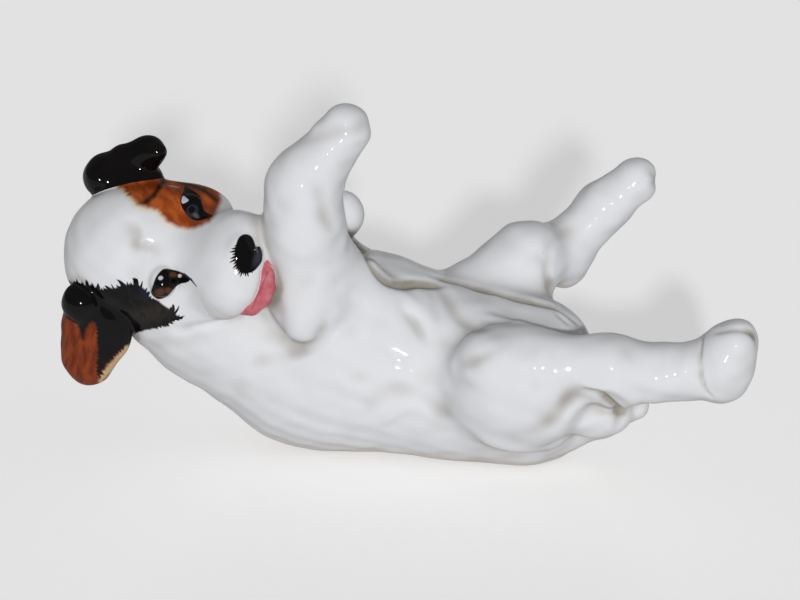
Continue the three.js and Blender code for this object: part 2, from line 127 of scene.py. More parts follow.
def ball(centre, size, blend=0.0):
    """An ellipsoid of that full size."""
    middle = np.float32(centre)
    half = np.float32(size) / 2

    def distance(points):
        scaled = (points - middle) / half
        near = np.sqrt((scaled**2).sum(1) + TINY)
        slope = np.sqrt(((scaled / half) ** 2).sum(1) + TINY * TINY)
        return near * (near - 1) / slope

    return distance, blend


def limb(start, end, start_diameter, end_diameter, blend=0.0):
    """Two spheres and the cone between them."""
    start, end = np.float32(start), np.float32(end)
    length = float(np.linalg.norm(end - start))
    axis = (end - start) / length
    slope = (start_diameter - end_diameter) / 2 / length
    cosine = math.sqrt(1 - slope * slope)

    def distance(points):
        offset = points - start
        height = offset @ axis
        reach = np.sqrt(np.maximum((offset**2).sum(1) - height**2, 0))
        side = height * cosine - reach * slope
        at_start = np.hypot(reach, height) - start_diameter / 2
        at_end = np.hypot(reach, height - length) - end_diameter / 2
        between = reach * cosine + height * slope - start_diameter / 2
        return np.where(side < 0, at_start, np.where(side > cosine * length, at_end, between))

    return distance, blend


def pairs(places, sizes):
    """Each place with the next one, and the size at each of the two."""
    return list(zip(places, places[1:], sizes, sizes[1:]))


def chain(joints, diameters, blend):
    """Limbs from joint to joint, each joint with its diameter."""
    return [limb(*pair, blend) for pair in pairs(joints, diameters)]


def walk(start, *bones):
    """The joints at the ends of the bones that follow on from a start."""
    joints = [np.array(start, float)]
    for bone in bones:
        joints.append(joints[-1] + bone)
    return joints


def mirrored(place):
    """The same place on the other side of the head."""
    return (place[0], -place[1], place[2])


def blended(first, second, reach):
    """The nearer of two distances, with the corner between them rounded over that reach."""
    share = np.maximum(reach - np.abs(first - second), 0) / reach
    return np.minimum(first, second) - share**3 * reach / 6


BODY_MUSCLES = [
    ball(CHEST, CHEST_SIZE),
    ball(BELLY, BELLY_SIZE, BODY_BLEND),
    ball(RUMP, RUMP_SIZE, BODY_BLEND),
]
NECK_MUSCLES = chain([NECK_ROOT, NECK_MIDDLE, NECK_TOP], [29.6, 23.2, 20.8], NECK_BLEND)

# The head in its own frame: X to the nose, Y to the dog's left, Z to the crown
MUZZLE = millimetres(14.5, -0.4, -5.8)
CHEEK, CHEEK_SIZE = (3, 7.7, -4.7), (14.5, 9, 11.8)
BROW, BROW_SIZE = (7.6, 5.6, 1.8), (6, 6.4, 4.6)
LEFT_EYE, RIGHT_EYE, EYE_SIZE = (10, 6.3, -0.2), (10.9, -6.3, 1.4), (4, 4.6, 4)
FACE_BLEND = 4
HEAD_MUSCLES = [
    ball((0, 0, 0), (21.6, 22.6, 20.8)),
    ball((-1.6, -1.2, 3.4), (19, 19.6, 17.6), FACE_BLEND),
    ball((7, -0.2, -4.6), (16.8, 18.8, 14.4), FACE_BLEND),
    ball(MUZZLE, (18.8, 15.2, 12), FACE_BLEND),
    ball(MUZZLE + (3.7, 3.7, -0.7), (9.2, 7.2, 8.4), FACE_BLEND),
    ball(MUZZLE + (3.8, -3.6, -1), (10.2, 9.2, 8.8), FACE_BLEND),
    ball(CHEEK, CHEEK_SIZE, FACE_BLEND),
    ball(mirrored(CHEEK), CHEEK_SIZE, FACE_BLEND),
    ball(BROW, BROW_SIZE, FACE_BLEND),
    ball(mirrored(BROW), BROW_SIZE, FACE_BLEND),
    limb((5, -1.5, -10), (14, -2.5, -10.8), 9.8, 7.2, FACE_BLEND),
    ball(LEFT_EYE, EYE_SIZE, 1),
    ball(RIGHT_EYE, EYE_SIZE, 1),
    ball(MUZZLE + (7.3, 0.4, 1.4), (4.4, 6.2, 4.8), 1),
]
TONGUE = walk(MUZZLE + (8.6, -0.1, -2.4), (0.4, -1.5, -1), (-0.1, -1.8, -0.6), (-0.7, -1.7, -0.2),
              (-1.5, -1.6, 0.5), (-1.6, -0.7, 0.3))
TONGUE_MUSCLES = chain(TONGUE, [1.2, 2.2, 2.5, 2.4, 2.1, 1.2], 0.8)

# Ears, placed from the skull along the body's axes
EAR_BLEND = 2.5
LEFT_EAR_FOLD = [SKULL + place for place in ((-4, 4.6, 13.4), (-0.3, 4.3, 15), (1.6, 3.1, 15.4))]
LEFT_EAR_MUSCLES = [
    ball(SKULL + (-4.4, 4.3, 10.2), (12.4, 9.2, 6.8)),
    ball(SKULL + (-7.6, 3.7, 10.8), (5.8, 8, 6.4), EAR_BLEND),
    *chain(LEFT_EAR_FOLD, [5, 4.4, 2.6], EAR_BLEND),
]
RIGHT_EAR_MUSCLES = [
    ball(SKULL + (-8.4, -9.1, -5.8), (6, 6.4, 6.2)),
    ball(SKULL + (-6.2, -8.2, -10.8), (11.4, 4.8, 12), EAR_BLEND),
    ball(SKULL + (-7.9, -7.9, -15.4), (8.8, 4.2, 10.2), EAR_BLEND),
]

# Legs and tail, joint by joint from where they leave the body
LIMB_BLEND = 5
JOINT_BLEND = 3
SHOULDER_SIZE = (16, 13, 18)
RIGHT_SHOULDER = CHEST + (-1.8, -9.7, 4.1)
RIGHT_FORELEG = walk(RIGHT_SHOULDER + (-3.9, -3.3, 9.8),
                     (-0.4, -0.6, 11.7), (-0.3, 0.2, 6.8), (6.5, 1.9, 8.9))
RIGHT_FORELEG_MUSCLES = [
    ball(RIGHT_SHOULDER, SHOULDER_SIZE),
    *chain(RIGHT_FORELEG, [12.4, 11.2, 10, 7.8], LIMB_BLEND),
    limb(RIGHT_FORELEG[0] + (1.6, 2.5, 5.5), RIGHT_SHOULDER + (5, 2.7, 6.5), 10, 10, LIMB_BLEND),
    ball(RIGHT_FORELEG[0] + (-0.3, -3, -2.5), (6.4, 7, 8), JOINT_BLEND),
]
LEFT_SHOULDER = CHEST + (-4.5, 10.6, 4.6)
LEFT_FORELEG = walk(LEFT_SHOULDER + (-3.4, 2.4, 3.7), (-3.6, -1.8, 9.1), (6.6, -1.2, 1.8))
LEFT_FORELEG_MUSCLES = [
    ball(LEFT_SHOULDER, SHOULDER_SIZE),
    *chain(LEFT_FORELEG, [10.8, 9, 7.2], LIMB_BLEND),
]
RIGHT_HIP = RUMP + (-1.2, -11.5, 4.1)
RIGHT_HIND_LEG = walk(RIGHT_HIP + (-3.4, -3.1, 5), (18, 1.6, 0.2), (7.1, 1, -1.1), (5.3, 0.8, 0.6))
RIGHT_HIND_LEG_MUSCLES = [
    ball(RIGHT_HIP, (23.6, 17, 19.6)),
    *chain(RIGHT_HIND_LEG, [10.2, 8.8, 7.6, 9], LIMB_BLEND),
    ball(RIGHT_HIND_LEG[3] + (5.2, 1.2, 1.5), (9.6, 11, 11.6), JOINT_BLEND),
    ball(RIGHT_HIND_LEG[3] + (7.2, 1.2, 5.2), (6, 8, 6), JOINT_BLEND),
    ball(RIGHT_HIND_LEG[3] + (4.6, 1.2, -1.8), (6.8, 8.4, 6.2), JOINT_BLEND),
    ball(RIGHT_HIND_LEG[1] + (1.5, -0.1, -4.4), (6.8, 5.2, 4.8), JOINT_BLEND),
    ball(RIGHT_HIP + (12, 2.5, -4), (12, 9, 9), JOINT_BLEND),
]
LEFT_HIP = RUMP + (-7.6, 7.6, 4.8)
LEFT_GROIN = LEFT_HIP + (-6.2, 0.4, 4.4)
LEFT_HIND_LEG = walk(LEFT_HIP + (4, 5.4, 11.4), (5.1, 6.4, -1.1), (5.8, 3.6, 6.6), (5.1, 1.4, 4.5))
LEFT_HIND_LEG_MUSCLES = [
    limb(LEFT_HIP, LEFT_HIND_LEG[0], 17, 9.2),
    limb(LEFT_GROIN, LEFT_HIND_LEG[0], 11.4, 9.6, LIMB_BLEND),
    *chain(LEFT_HIND_LEG, [9, 8.4, 7.2, 7.4], LIMB_BLEND),
    ball(LEFT_HIND_LEG[1] + (0.2, 0.6, -3.5), (5.6, 5.4, 5.6), JOINT_BLEND),
]
TAIL = walk(RUMP + (3.2, -1.6, -8.5), (7.9, -2.9, 4.9), (5.6, -2, 3.9))
TAIL_MUSCLES = chain(TAIL, [6.4, 5.2, 4.6], JOINT_BLEND)

# Each casting's muscles, and how far its slip joint is smoothed into the ones before it
CASTINGS = {
    "torso": (BODY_MUSCLES, 0),
    "head": (HEAD_MUSCLES, 4),
    "right_foreleg": (RIGHT_FORELEG_MUSCLES, 3.5),
    "left_foreleg": (LEFT_FORELEG_MUSCLES, 3.5),
    "right_hind_leg": (RIGHT_HIND_LEG_MUSCLES, 4),
    "left_hind_leg": (LEFT_HIND_LEG_MUSCLES, 3.5),
    "tail": (TAIL_MUSCLES, 2),
    "left_ear": (LEFT_EAR_MUSCLES, 1.2),
    "right_ear": (RIGHT_EAR_MUSCLES, 1.2),
    "tongue": (TONGUE_MUSCLES, 0.3),
}
HEAD_PIECES = ("head", "left_ear", "right_ear", "tongue")
IN_HEAD_FRAME = ("head", "tongue")
GROUND_EDGE = 0.8


def muscle_distance(muscles, points, start=None):
    """The distance from muscles that are blended one by one, onto a start if there is one."""
    nearest = start
    for distance, blend in muscles:
        found = distance(points)
        nearest = found if nearest is None else blended(nearest, found, blend)
    return nearest


def casting_distances(points):
    """The distance from each casting, before they are stuck together."""
    in_head = (points - np.float32(SKULL)) @ np.float32(HEAD_AXES)
    return {
        name: muscle_distance(muscles, in_head if name in IN_HEAD_FRAME else points)
        for name, (muscles, _) in CASTINGS.items()
    }


def whole_distance(points):
    """The distance from the castings once they are stuck together and stand on the ground."""
    found = casting_distances(points)
    whole = muscle_distance(NECK_MUSCLES, points, found["torso"])
    for name, (_, join) in CASTINGS.items():
        if name != "torso":
            whole = blended(whole, found[name], join)
    return -blended(-whole, points[:, 2], GROUND_EDGE)


POINTS_AT_ONCE = 20000


def in_batches(function, points):
    """Works a function out for many points, a batch on each processor at a time."""
    batches = np.array_split(np.float32(points), max(1, len(points) // POINTS_AT_ONCE))
    with ThreadPoolExecutor() as workers:
        return np.concatenate(list(workers.map(function, batches)))


def skin_distance(points):
    """The distance from the whole glazed skin, below zero inside it."""
    return in_batches(whole_distance, points)


# Skins are sampled on a grid, the head's finer than the body's
HEAD_GRID = 0.25
BODY_GRID = 0.42
GRID_BLOCK = 8
GRID_MARGIN = 4
BLOCKS_AT_ONCE = 500
BLOCK_REACH = 1.1
BLOCK_MARGIN = 1
GRADIENT_STEP = 0.05
LEAST_SLOPE = 0.05


def grid_samples(distance, low, cells, cell):
    """Distances on a grid, worked out only in the blocks that the skin passes through."""
    blocks = cells // GRID_BLOCK
    middles = [low[i] + (np.arange(blocks[i]) + 0.5) * GRID_BLOCK * cell for i in range(3)]
    centres = np.stack(np.meshgrid(*middles, indexing="ij"), -1).reshape(-1, 3)
    found = distance(centres)
    reach = GRID_BLOCK * cell * BLOCK_REACH + BLOCK_MARGIN
    block_of = [np.minimum(np.arange(cells[i] + 1) // GRID_BLOCK, blocks[i] - 1) for i in range(3)]
    samples = np.where(found > 0, 1, -1).reshape(blocks)[np.ix_(*block_of)].astype(np.float32) * reach
    near = np.argwhere((np.abs(found) < reach).reshape(blocks))
    inside = np.stack(np.meshgrid(*[np.arange(GRID_BLOCK + 1)] * 3, indexing="ij"), -1).reshape(-1, 3)
    for first in range(0, len(near), BLOCKS_AT_ONCE):
        block = near[first : first + BLOCKS_AT_ONCE, None]
        places = (block * GRID_BLOCK + inside).reshape(-1, 3)
        samples[tuple(places.T)] = distance(low + places * cell)
    return samples


def surface_nets(distance, low, high, cell):
    """Points and triangles of the skin inside a box."""
    low, high = np.array(low, float), np.array(high, float)
    cells = np.ceil((high - low) / cell / GRID_BLOCK).astype(int) * GRID_BLOCK
    samples = grid_samples(distance, low, cells, cell)
    inside = samples < 0
    corners = np.argwhere(np.ones((2, 2, 2)))

    def at_corner(grid, corner):
        return grid[tuple(slice(c, c + n) for c, n in zip(corner, cells))]

    count = sum(at_corner(inside, corner).astype(np.int8) for corner in corners)
    crossed = np.argwhere((count > 0) & (count < 8))
    number = -np.ones(cells, np.int64)
    number[tuple(crossed.T)] = np.arange(len(crossed))
    total, weight = np.zeros((len(crossed), 3)), np.zeros(len(crossed))
    for a, b in combinations(corners, 2):
        if np.abs(b - a).sum() != 1:
            continue
        at_a, at_b = (samples[tuple((crossed + corner).T)] for corner in (a, b))
        change = (at_a < 0) != (at_b < 0)
        share = np.where(change, at_a / np.where(change, at_a - at_b, 1), 0)
        total += change[:, None] * (a + share[:, None] * (b - a))
        weight += change
    points = low + (crossed + total / weight[:, None]) * cell
    quads = []
    for axis in range(3):
        across, up = (axis + 1) % 3, (axis + 2) % 3
        here = [slice(1, cells[i]) for i in range(3)]
        there = list(here)
        here[axis] = slice(0, cells[axis])
        there[axis] = slice(1, cells[axis] + 1)
        before, after = inside[tuple(here)], inside[tuple(there)]
        for leaving, change in ((True, before & ~after), (False, ~before & after)):
            ring = []
            for step_across, step_up in ((0, 0), (1, 0), (1, 1), (0, 1)):
                place = np.argwhere(change)
                place[:, across] += step_across
                place[:, up] += step_up
                ring.append(number[tuple(place.T)])
            quad = np.stack(ring, 1)
            quads.append(quad if leaving else quad[:, ::-1])
    quads = np.concatenate(quads)
    triangles = np.concatenate([quads[:, [0, 1, 2]], quads[:, [0, 2, 3]]])
    return points, triangles


def slopes(height, points, step, here=None):
    """How a height rises along each axis, from its values here or from one step behind."""
    found = np.empty((len(points), 3))
    for axis, shift in enumerate(np.eye(3) * step):
        if here is None:
            found[:, axis] = (height(points + shift) - height(points - shift)) / (2 * step)
        else:
            found[:, axis] = (height(points + shift) - here) / step
    return found


def settle(points):
    """Moves points onto the skin."""
    miss = skin_distance(points)
    slope = slopes(skin_distance, points, GRADIENT_STEP, miss)
    return points - (miss / np.maximum((slope**2).sum(1), LEAST_SLOPE))[:, None] * slope


def unit(vectors):
    return vectors / np.maximum(np.linalg.norm(vectors, axis=-1, keepdims=True), TINY)


# The picture plane of the photograph
def towards(right, up):
    """The direction from the figurine to a place that many degrees right and up of the camera."""
    azimuth, elevation = math.radians(VIEW_AZIMUTH + right), math.radians(VIEW_ELEVATION + up)
    return np.array((math.sin(azimuth) * math.cos(elevation),
                     -math.cos(azimuth) * math.cos(elevation), math.sin(elevation)))


def view_axes():
    """The columns point right, up and into the picture."""
    azimuth = math.radians(VIEW_AZIMUTH)
    right, into = np.array((math.cos(azimuth), math.sin(azimuth), 0)), -towards(0, 0)
    return np.stack([right, np.cross(right, into), into], 1)


VIEW_AXES = view_axes()
VIEWPOINT = VIEW_TARGET - VIEW_DISTANCE * VIEW_AXES[:, 2]
RAY_START = 60
RAY_STEPS = 60
RAY_CAUTION = 0.8


def to_picture(points):
    """The pixel columns and rows at which the photograph shows points."""
    seen = (points - VIEWPOINT) @ VIEW_AXES
    focal = PIXELS_PER_MM * VIEW_DISTANCE
    columns = PICTURE_SIZE[0] / 2 + focal * seen[:, 0] / seen[:, 2]
    rows = PICTURE_SIZE[1] / 2 - focal * seen[:, 1] / seen[:, 2]
    return np.stack([columns, rows], 1)


def from_picture(places):
    """The points of the skin that the photograph shows at those pixels."""
    places = np.array(places, float)
    focal = PIXELS_PER_MM * VIEW_DISTANCE
    across = (places[:, 0] - PICTURE_SIZE[0] / 2) / focal
    up = (PICTURE_SIZE[1] / 2 - places[:, 1]) / focal
    rays = unit(np.stack([across, up, np.ones(len(places))], 1) @ VIEW_AXES.T)
    reach = np.full(len(places), float(VIEW_DISTANCE - RAY_START))
    for _ in range(RAY_STEPS):
        reach += RAY_CAUTION * skin_distance(VIEWPOINT + reach[:, None] * rays)
    missed = reach > VIEW_DISTANCE + RAY_START
    reach[missed] = VIEW_DISTANCE
    return VIEWPOINT + reach[:, None] * rays


# Relief: grooves and ridges that the modeller's tool left, in picture pixels where the photograph
# shows them. Each is a half width and a depth in millimetres, and the places that it passes.
STROKES = {
    "breast fold": (1.0, 0.9, [(360, 246), (369, 260), (380, 274), (395, 284), (414, 283), (441, 284)]),
    "groin fold": (1.1, 0.7, [(436, 277), (458, 281), (480, 288), (509, 295), (536, 302), (558, 307)]),
    "armpit ridge": (1.5, -0.5, [(397, 290), (410, 299), (419, 309), (425, 322), (427, 332)]),
    "armpit fold": (1.0, 0.5, [(404, 311), (414, 320), (420, 329), (425, 340)]),
    "second armpit ridge": (1.3, -0.4, [(420, 290), (428, 304), (431, 318), (430, 328)]),
    "flank fold": (1.2, 0.4, [(443, 287), (449, 300), (456, 314), (468, 325), (482, 330)]),
    "groin ridge": (1.0, -0.4, [(485, 316), (504, 321), (524, 324)]),
    "crotch wrinkle": (0.8, 0.4, [(553, 306), (562, 311), (570, 316), (580, 324)]),
    "lower crotch wrinkle": (0.7, 0.3, [(556, 313), (562, 318), (570, 324)]),
    "elbow crease": (1.3, 0.28, [(280, 314), (283, 331), (291, 340), (303, 345), (315, 341),
                                 (323, 330), (326, 316)]),
    "elbow wrinkle": (0.8, -0.2, [(286, 364), (303, 360), (320, 352), (332, 342), (344, 330)]),
    "knee hollow": (1.2, 0.38, [(458, 364), (473, 361), (487, 354), (499, 347)]),
    "flank hollow": (2.2, 0.25, [(457, 370), (455, 384), (448, 402), (432, 419)]),
    "haunch fold": (2.2, 0.35, [(574, 377), (570, 397), (556, 417), (536, 432), (504, 445)]),
    "hock ridge": (1.0, -0.6, [(579, 382), (594, 386), (613, 388), (627, 396), (633, 404)]),
    "hock fold": (0.8, 0.75, [(587, 390), (600, 394), (610, 403), (620, 410), (630, 408)]),
    "haunch seam": (1.5, -0.6, [(476, 435), (498, 445), (524, 449), (548, 446), (566, 438)]),
    "tail fold": (0.9, 0.4, [(619, 411), (619, 420), (617, 429)]),
    "buttock ridge": (1.2, -0.35, [(566, 424), (574, 410), (586, 402), (600, 401)]),
    "second buttock ridge": (1.1, -0.3, [(578, 432), (590, 422), (604, 414)]),
    "cuff groove": (0.35, 0.22, [(703, 334), (700.5, 350), (700.5, 370), (705, 389), (713, 398)]),
    "toe groove": (0.7, 0.35, [(714, 332), (734, 329), (750, 331), (757, 336)]),
    "toe hollow": (1.1, 0.5, [(751, 331), (757, 338), (758, 346)]),
    "heel groove": (1.0, 0.45, [(548, 262), (547, 271), (549, 281), (552, 289)]),
    "heel bump": (1.6, -0.3, [(556, 272), (566, 269), (574, 272)]),
    "far hock fold": (1.1, 0.25, [(534, 256), (548, 260), (550, 246), (560, 233), (572, 226)]),
    "far shank ridge": (1.3, -0.3, [(577, 240), (588, 228), (600, 216)]),
    "far toe hollow": (1.2, 0.5, [(651, 170), (656, 177), (659, 184)]),
    "forepaw fold": (1.4, 0.4, [(302, 139), (320, 134), (346, 132), (358, 129), (371, 121)]),
    "foreleg tendon": (1.4, 0.3, [(315, 184), (322, 199), (327, 218), (336, 236)]),
    "jowl": (3.2, -1.3, [(186, 303), (198, 310), (212, 314), (226, 313)]),
    "brow crease": (1.0, 0.38, [(135, 224), (138, 234), (137, 243), (145, 245), (154, 248), (158, 257)]),
    "brow bump": (2.4, -0.25, [(143, 257), (150, 258)]),
    "temple crease": (1.2, 0.2, [(124, 216), (130, 230), (132, 244), (130, 256)]),
    "mouth line": (0.8, 0.5, [(180, 330), (202, 324), (218, 320), (233, 316), (244, 314)]),
    "rib hollow": (1.6, 0.3, [(372, 402), (390, 396), (410, 388), (428, 378)]),
    "rib ridge": (1.1, -0.3, [(380, 424), (395, 413), (412, 405)]),
    "chest wrinkle": (1.3, 0.25, [(252, 365), (270, 358), (286, 356), (300, 350)]),
    "neck ridge": (1.5, -0.25, [(136, 339), (155, 337), (178, 333)]),
    "neck hollow": (1.8, 0.25, [(150, 348), (172, 346), (200, 342)]),
}

# Low ripples across the shanks, the thigh and the foreleg, all alike
RIPPLES = [
    [(584, 212), (596, 218), (606, 228)],
    [(598, 194), (610, 201), (620, 212)],
    [(614, 178), (626, 187), (636, 196)],
    [(538, 352), (535, 368), (537, 380)],
    [(556, 350), (554, 366), (557, 376)],
    [(668, 350), (665, 368), (668, 386)],
    [(687, 346), (684, 366), (687, 384)],
    [(318, 150), (330, 156), (340, 166)],
]
STROKES.update({f"ripple {i}": (0.8, -0.12, path) for i, path in enumerate(RIPPLES)})

# Soft waves of modelled fur, as sums of sines: wavelength and height in millimetres
FUR_WAVES = ((9.0, 0.065), (4.8, 0.065), (3.1, 0.035))
WAVES_EACH = 6
FUR_SEED = 11


def fur_waves():
    """The waves: each one's direction and number, its phase and its height."""
    random = np.random.default_rng(FUR_SEED)
    waves = []
    for length, height in FUR_WAVES:
        for _ in range(WAVES_EACH):
            waves.append((unit(random.normal(size=3)) * 2 * math.pi / length,
                          random.uniform(0, 2 * math.pi), height / math.sqrt(WAVES_EACH)))
    return waves


STROKE_REACH = 3
END_LIFT = 0.6
CURVE_STEPS = 3
RELIEF_STEP = 0.06
GROUND_FADE = 1.5


def along_path(path, points):
    """How near points come to a path, and where on it, counted in its parts."""
    nearest, where = np.full(len(points), np.inf), np.zeros(len(points))
    for i, span in enumerate(np.diff(path, axis=0)):
        offset = points - path[i]
        share = np.clip(offset @ span / max(span @ span, TINY * TINY), 0, 1)
        apart = np.linalg.norm(offset - share[:, None] * span, axis=1)
        better = apart < nearest
        nearest, where = np.where(better, apart, nearest), np.where(better, i + share, where)
    return nearest, where


def lengths_so_far(path):
    """How far along the path each of its places is."""
    return np.concatenate([[0], np.cumsum(np.linalg.norm(np.diff(path, axis=0), axis=1))])


def stroke_relief(points, path, half_width, depth):
    """The height that one stroke adds, shallower towards its ends."""
    height = np.zeros(len(points))
    low, high = path.min(0) - STROKE_REACH * half_width, path.max(0) + STROKE_REACH * half_width
    close = np.flatnonzero(((points > low) & (points < high)).all(1))
    if not len(close):
        return height
    nearest, where = along_path(path, points[close])
    lengths = lengths_so_far(path)
    along = np.interp(where, np.arange(len(path)), lengths)
    taper = 1 - END_LIFT * np.exp(-np.minimum(along, lengths[-1] - along) / half_width)
    height[close] = -depth * taper * np.exp(-((nearest / half_width) ** 2))
    return height


def smooth_path(places, closed=False):
    """A curve through the places, as more places."""
    places = np.array(places, float)
    if closed:
        padded = np.concatenate([places[-1:], places, places[:2]])
    else:
        padded = np.concatenate([2 * places[:1] - places[1:2], places, 2 * places[-1:] - places[-2:-1]])
    share = np.arange(CURVE_STEPS)[:, None] / CURVE_STEPS
    curve = []
    for a, b, c, d in zip(padded, padded[1:], padded[2:], padded[3:]):
        curve.append(0.5 * (2 * b + (c - a) * share + (2 * a - 5 * b + 4 * c - d) * share**2
                            + (3 * b - a - 3 * c + d) * share**3))
    curve = np.concatenate(curve)
    return curve if closed else np.concatenate([curve, places[-1:]])


def relief_function():
    """The height of the relief over the muscles' skin, at points near that skin."""
    strokes = []
    for half_width, depth, places in STROKES.values():
        strokes.append((from_picture(smooth_path(places)), half_width, depth))
    waves = fur_waves()

    def relief(points):
        height = np.zeros(len(points))
        for path, half_width, depth in strokes:
            height += stroke_relief(points, path, half_width, depth)
        for direction, phase, tall in waves:
            height += tall * np.sin(points @ direction + phase)
        return height

    return lambda points: in_batches(relief, points)


def add_relief(points, normals, relief):
    """Raises points along their normals by the relief and turns the normals. Gives the heights too."""
    height = relief(points)
    slope = slopes(relief, points, RELIEF_STEP, height)
    along = slope - (slope * normals).sum(1)[:, None] * normals
    fade = np.clip(points[:, 2] / GROUND_FADE, 0, 1)[:, None]
    return points + fade * height[:, None] * normals, unit(normals - fade * along), height


# The skin is cut where two castings are equally near. The body's skin runs on a little way, in
# millimetres, under the head's
CUT_SHARE = 0.02
CUT_MARGIN = 1.5
UNDERLAP = 0.35
UNDERLAP_SLOPE = 0.25


def distances_by_piece(points):
    """How near each casting is. The neck is shared out at the head's joint."""
    found = casting_distances(points)
    neck = muscle_distance(NECK_MUSCLES, points)
    neck_line = unit(NECK_TOP - NECK_MIDDLE)
    beyond = (points - SKULL) @ neck_line + NECK_JOINT_FROM_SKULL
    found["torso"] = np.minimum(found["torso"], np.maximum(neck, beyond))
    found["head"] = np.minimum(found["head"], np.maximum(neck, -beyond))
    return np.stack([found[name] for name in CASTINGS], 1)


def cut_between(points, triangles, near, piece):
    """Cuts triangles where one piece's distance passes the least of the others'."""
    others = np.delete(near, piece, axis=1).min(1)
    side = near[:, piece] - others
    is_in = (side < 0)[triangles]
    mixed = is_in.any(1) & ~is_in.all(1)
    if not mixed.any():
        return points, triangles, near
    split, flags = triangles[mixed], is_in[mixed]
    lone_is_in = flags.sum(1) == 1
    lone = np.argmax(flags == lone_is_in[:, None], axis=1)
    turn = (lone[:, None] + np.arange(3)) % 3
    split = np.take_along_axis(split, turn, 1)
    edges = np.sort(np.concatenate([split[:, [0, 1]], split[:, [0, 2]]]), axis=1)
    ends, place = np.unique(edges, axis=0, return_inverse=True)
    place = place.reshape(-1)
    start, end = ends.T
    share = np.clip(side[start] / (side[start] - side[end]), CUT_SHARE, 1 - CUT_SHARE)[:, None]
    added, added_near = (rows[start] * (1 - share) + rows[end] * share for rows in (points, near))
    first, second = len(points) + place[: len(split)], len(points) + place[len(split) :]
    pieces = [
        triangles[~mixed],
        np.stack([split[:, 0], first, second], 1),
        np.stack([first, split[:, 1], split[:, 2]], 1),
        np.stack([first, split[:, 2], second], 1),
    ]
    return np.concatenate([points, added]), np.concatenate(pieces), np.concatenate([near, added_near])


def only_used(triangles, *rows):
    """The triangles renumbered without the points that none of them uses, and the rows to match."""
    used, place = np.unique(triangles, return_inverse=True)
    return place.reshape(-1, 3), [row[used] for row in rows]


def lag(near, wanted):
    """How much farther off the nearest of the wanted castings is than the nearest of the others."""
    return near[:, wanted].min(1) - near[:, ~wanted].min(1)


def cut_skin(names, cell, underlap, relief):
    """Some castings' skin: points, normals, relief heights, triangles and their castings."""
    low, high = box_of(names)
    points, triangles = surface_nets(skin_distance, low, high, cell)
    wanted = np.isin(list(CASTINGS), names)
    behind = lag(in_batches(distances_by_piece, points), wanted)
    triangles = triangles[(behind[triangles] < CUT_MARGIN).all(1)]
    triangles, (points,) = only_used(triangles, points)
    points = settle(points)
    near = in_batches(distances_by_piece, points) - np.where(wanted, underlap, 0)
    for piece in range(near.shape[1]):
        points, triangles, near = cut_between(points, triangles, near, piece)
    casting = near[triangles].mean(1).argmin(1)
    kept = wanted[casting]
    casting = casting[kept]
    triangles, (points,) = only_used(triangles[kept], points)
    points = settle(points)
    normals = unit(slopes(skin_distance, points, GRADIENT_STEP))
    points, normals, height = add_relief(points, normals, relief)
    behind = lag(in_batches(distances_by_piece, points), wanted)
    sunk = np.clip(behind, 0, underlap) * UNDERLAP_SLOPE
    return points - sunk[:, None] * normals, normals, height, triangles, casting


WALL = 1.5


def rimmed(points, normals, triangles):
    """Turns the open edges inwards by the thickness of the casting's wall."""
    edges = np.concatenate([triangles[:, [0, 1]], triangles[:, [1, 2]], triangles[:, [2, 0]]])
    count = len(points)
    is_open = ~np.isin(edges[:, 1] * count + edges[:, 0], edges[:, 0] * count + edges[:, 1])
    outer = edges[is_open]
    rim, place = np.unique(outer, return_inverse=True)
    inner = place.reshape(-1, 2) + count
    faces = [
        triangles,
        np.stack([outer[:, 1], outer[:, 0], inner[:, 0]], 1),
        np.stack([outer[:, 1], inner[:, 0], inner[:, 1]], 1),
    ]
    points = np.concatenate([points, points[rim] - WALL * normals[rim]])
    return points, np.concatenate([normals, normals[rim]]), np.concatenate(faces)


# Enamel outlines in picture pixels: column, row and how far brush hairs stick out, if any do
BLACK_PATCH = [
    (58, 284, 0), (67, 283, 6), (78, 284, 7), (86, 285, 8), (95, 287, 7), (104, 291, 4),
    (107, 289, 9), (115, 288, 7), (123, 285, 9), (130, 285, 4), (136, 284, 10), (142, 287, 7),
    (147, 292, 5), (151, 298, 2), (157, 300, 1), (162, 304, 0), (168, 308, 1), (173, 310, 9),
    (176, 314, 10), (176, 319, 10), (171, 323, 8), (163, 326, 3), (155, 328, 2), (146, 330, 1),
    (139, 332, 1), (134, 335, 1), (131, 342, 0), (118, 352, 0), (95, 354, 0), (60, 352, 0),
    (50, 320, 0),
]
NOSE_PATCH = [
    (241, 235.5), (246, 234), (251, 236), (254, 241), (256, 247), (259, 246), (261.5, 250),
    (262.5, 256), (261.5, 262), (258, 267), (254, 271), (249, 273), (243, 272), (238.5, 268),
    (236, 261), (235, 253), (236, 245), (238, 239),
]
TAN_PATCH = [
    (112, 180, 3), (121, 187, 3), (131, 196, 3), (138, 204, 2), (147, 207, 2), (157, 209, 2),
    (163, 216, 2), (171, 223, 2), (181, 227.5, 1), (193, 228.5, 1), (204, 224, 1), (213, 218, 1),
    (218, 208, 1), (221, 198, 1), (214, 180, 1), (195, 165, 2), (168, 158, 2), (140, 165, 2),
    (118, 174, 2),
]
UPPER_EYE = [
    (185, 186), (190, 188.5), (197, 193), (201, 198), (202.5, 205), (205, 211.5), (213, 215.8),
    (206, 218.5), (199.5, 220.8), (194, 220), (188.5, 216.5), (183.3, 210), (181, 204.5),
    (180.4, 199.5), (182, 194.5), (183.8, 190),
]
UPPER_EYE_WHITE = [
    (183.2, 195.6), (186, 197.6), (188.7, 200.2), (186, 202.4), (182.2, 203.6), (181.6, 199.6),
]
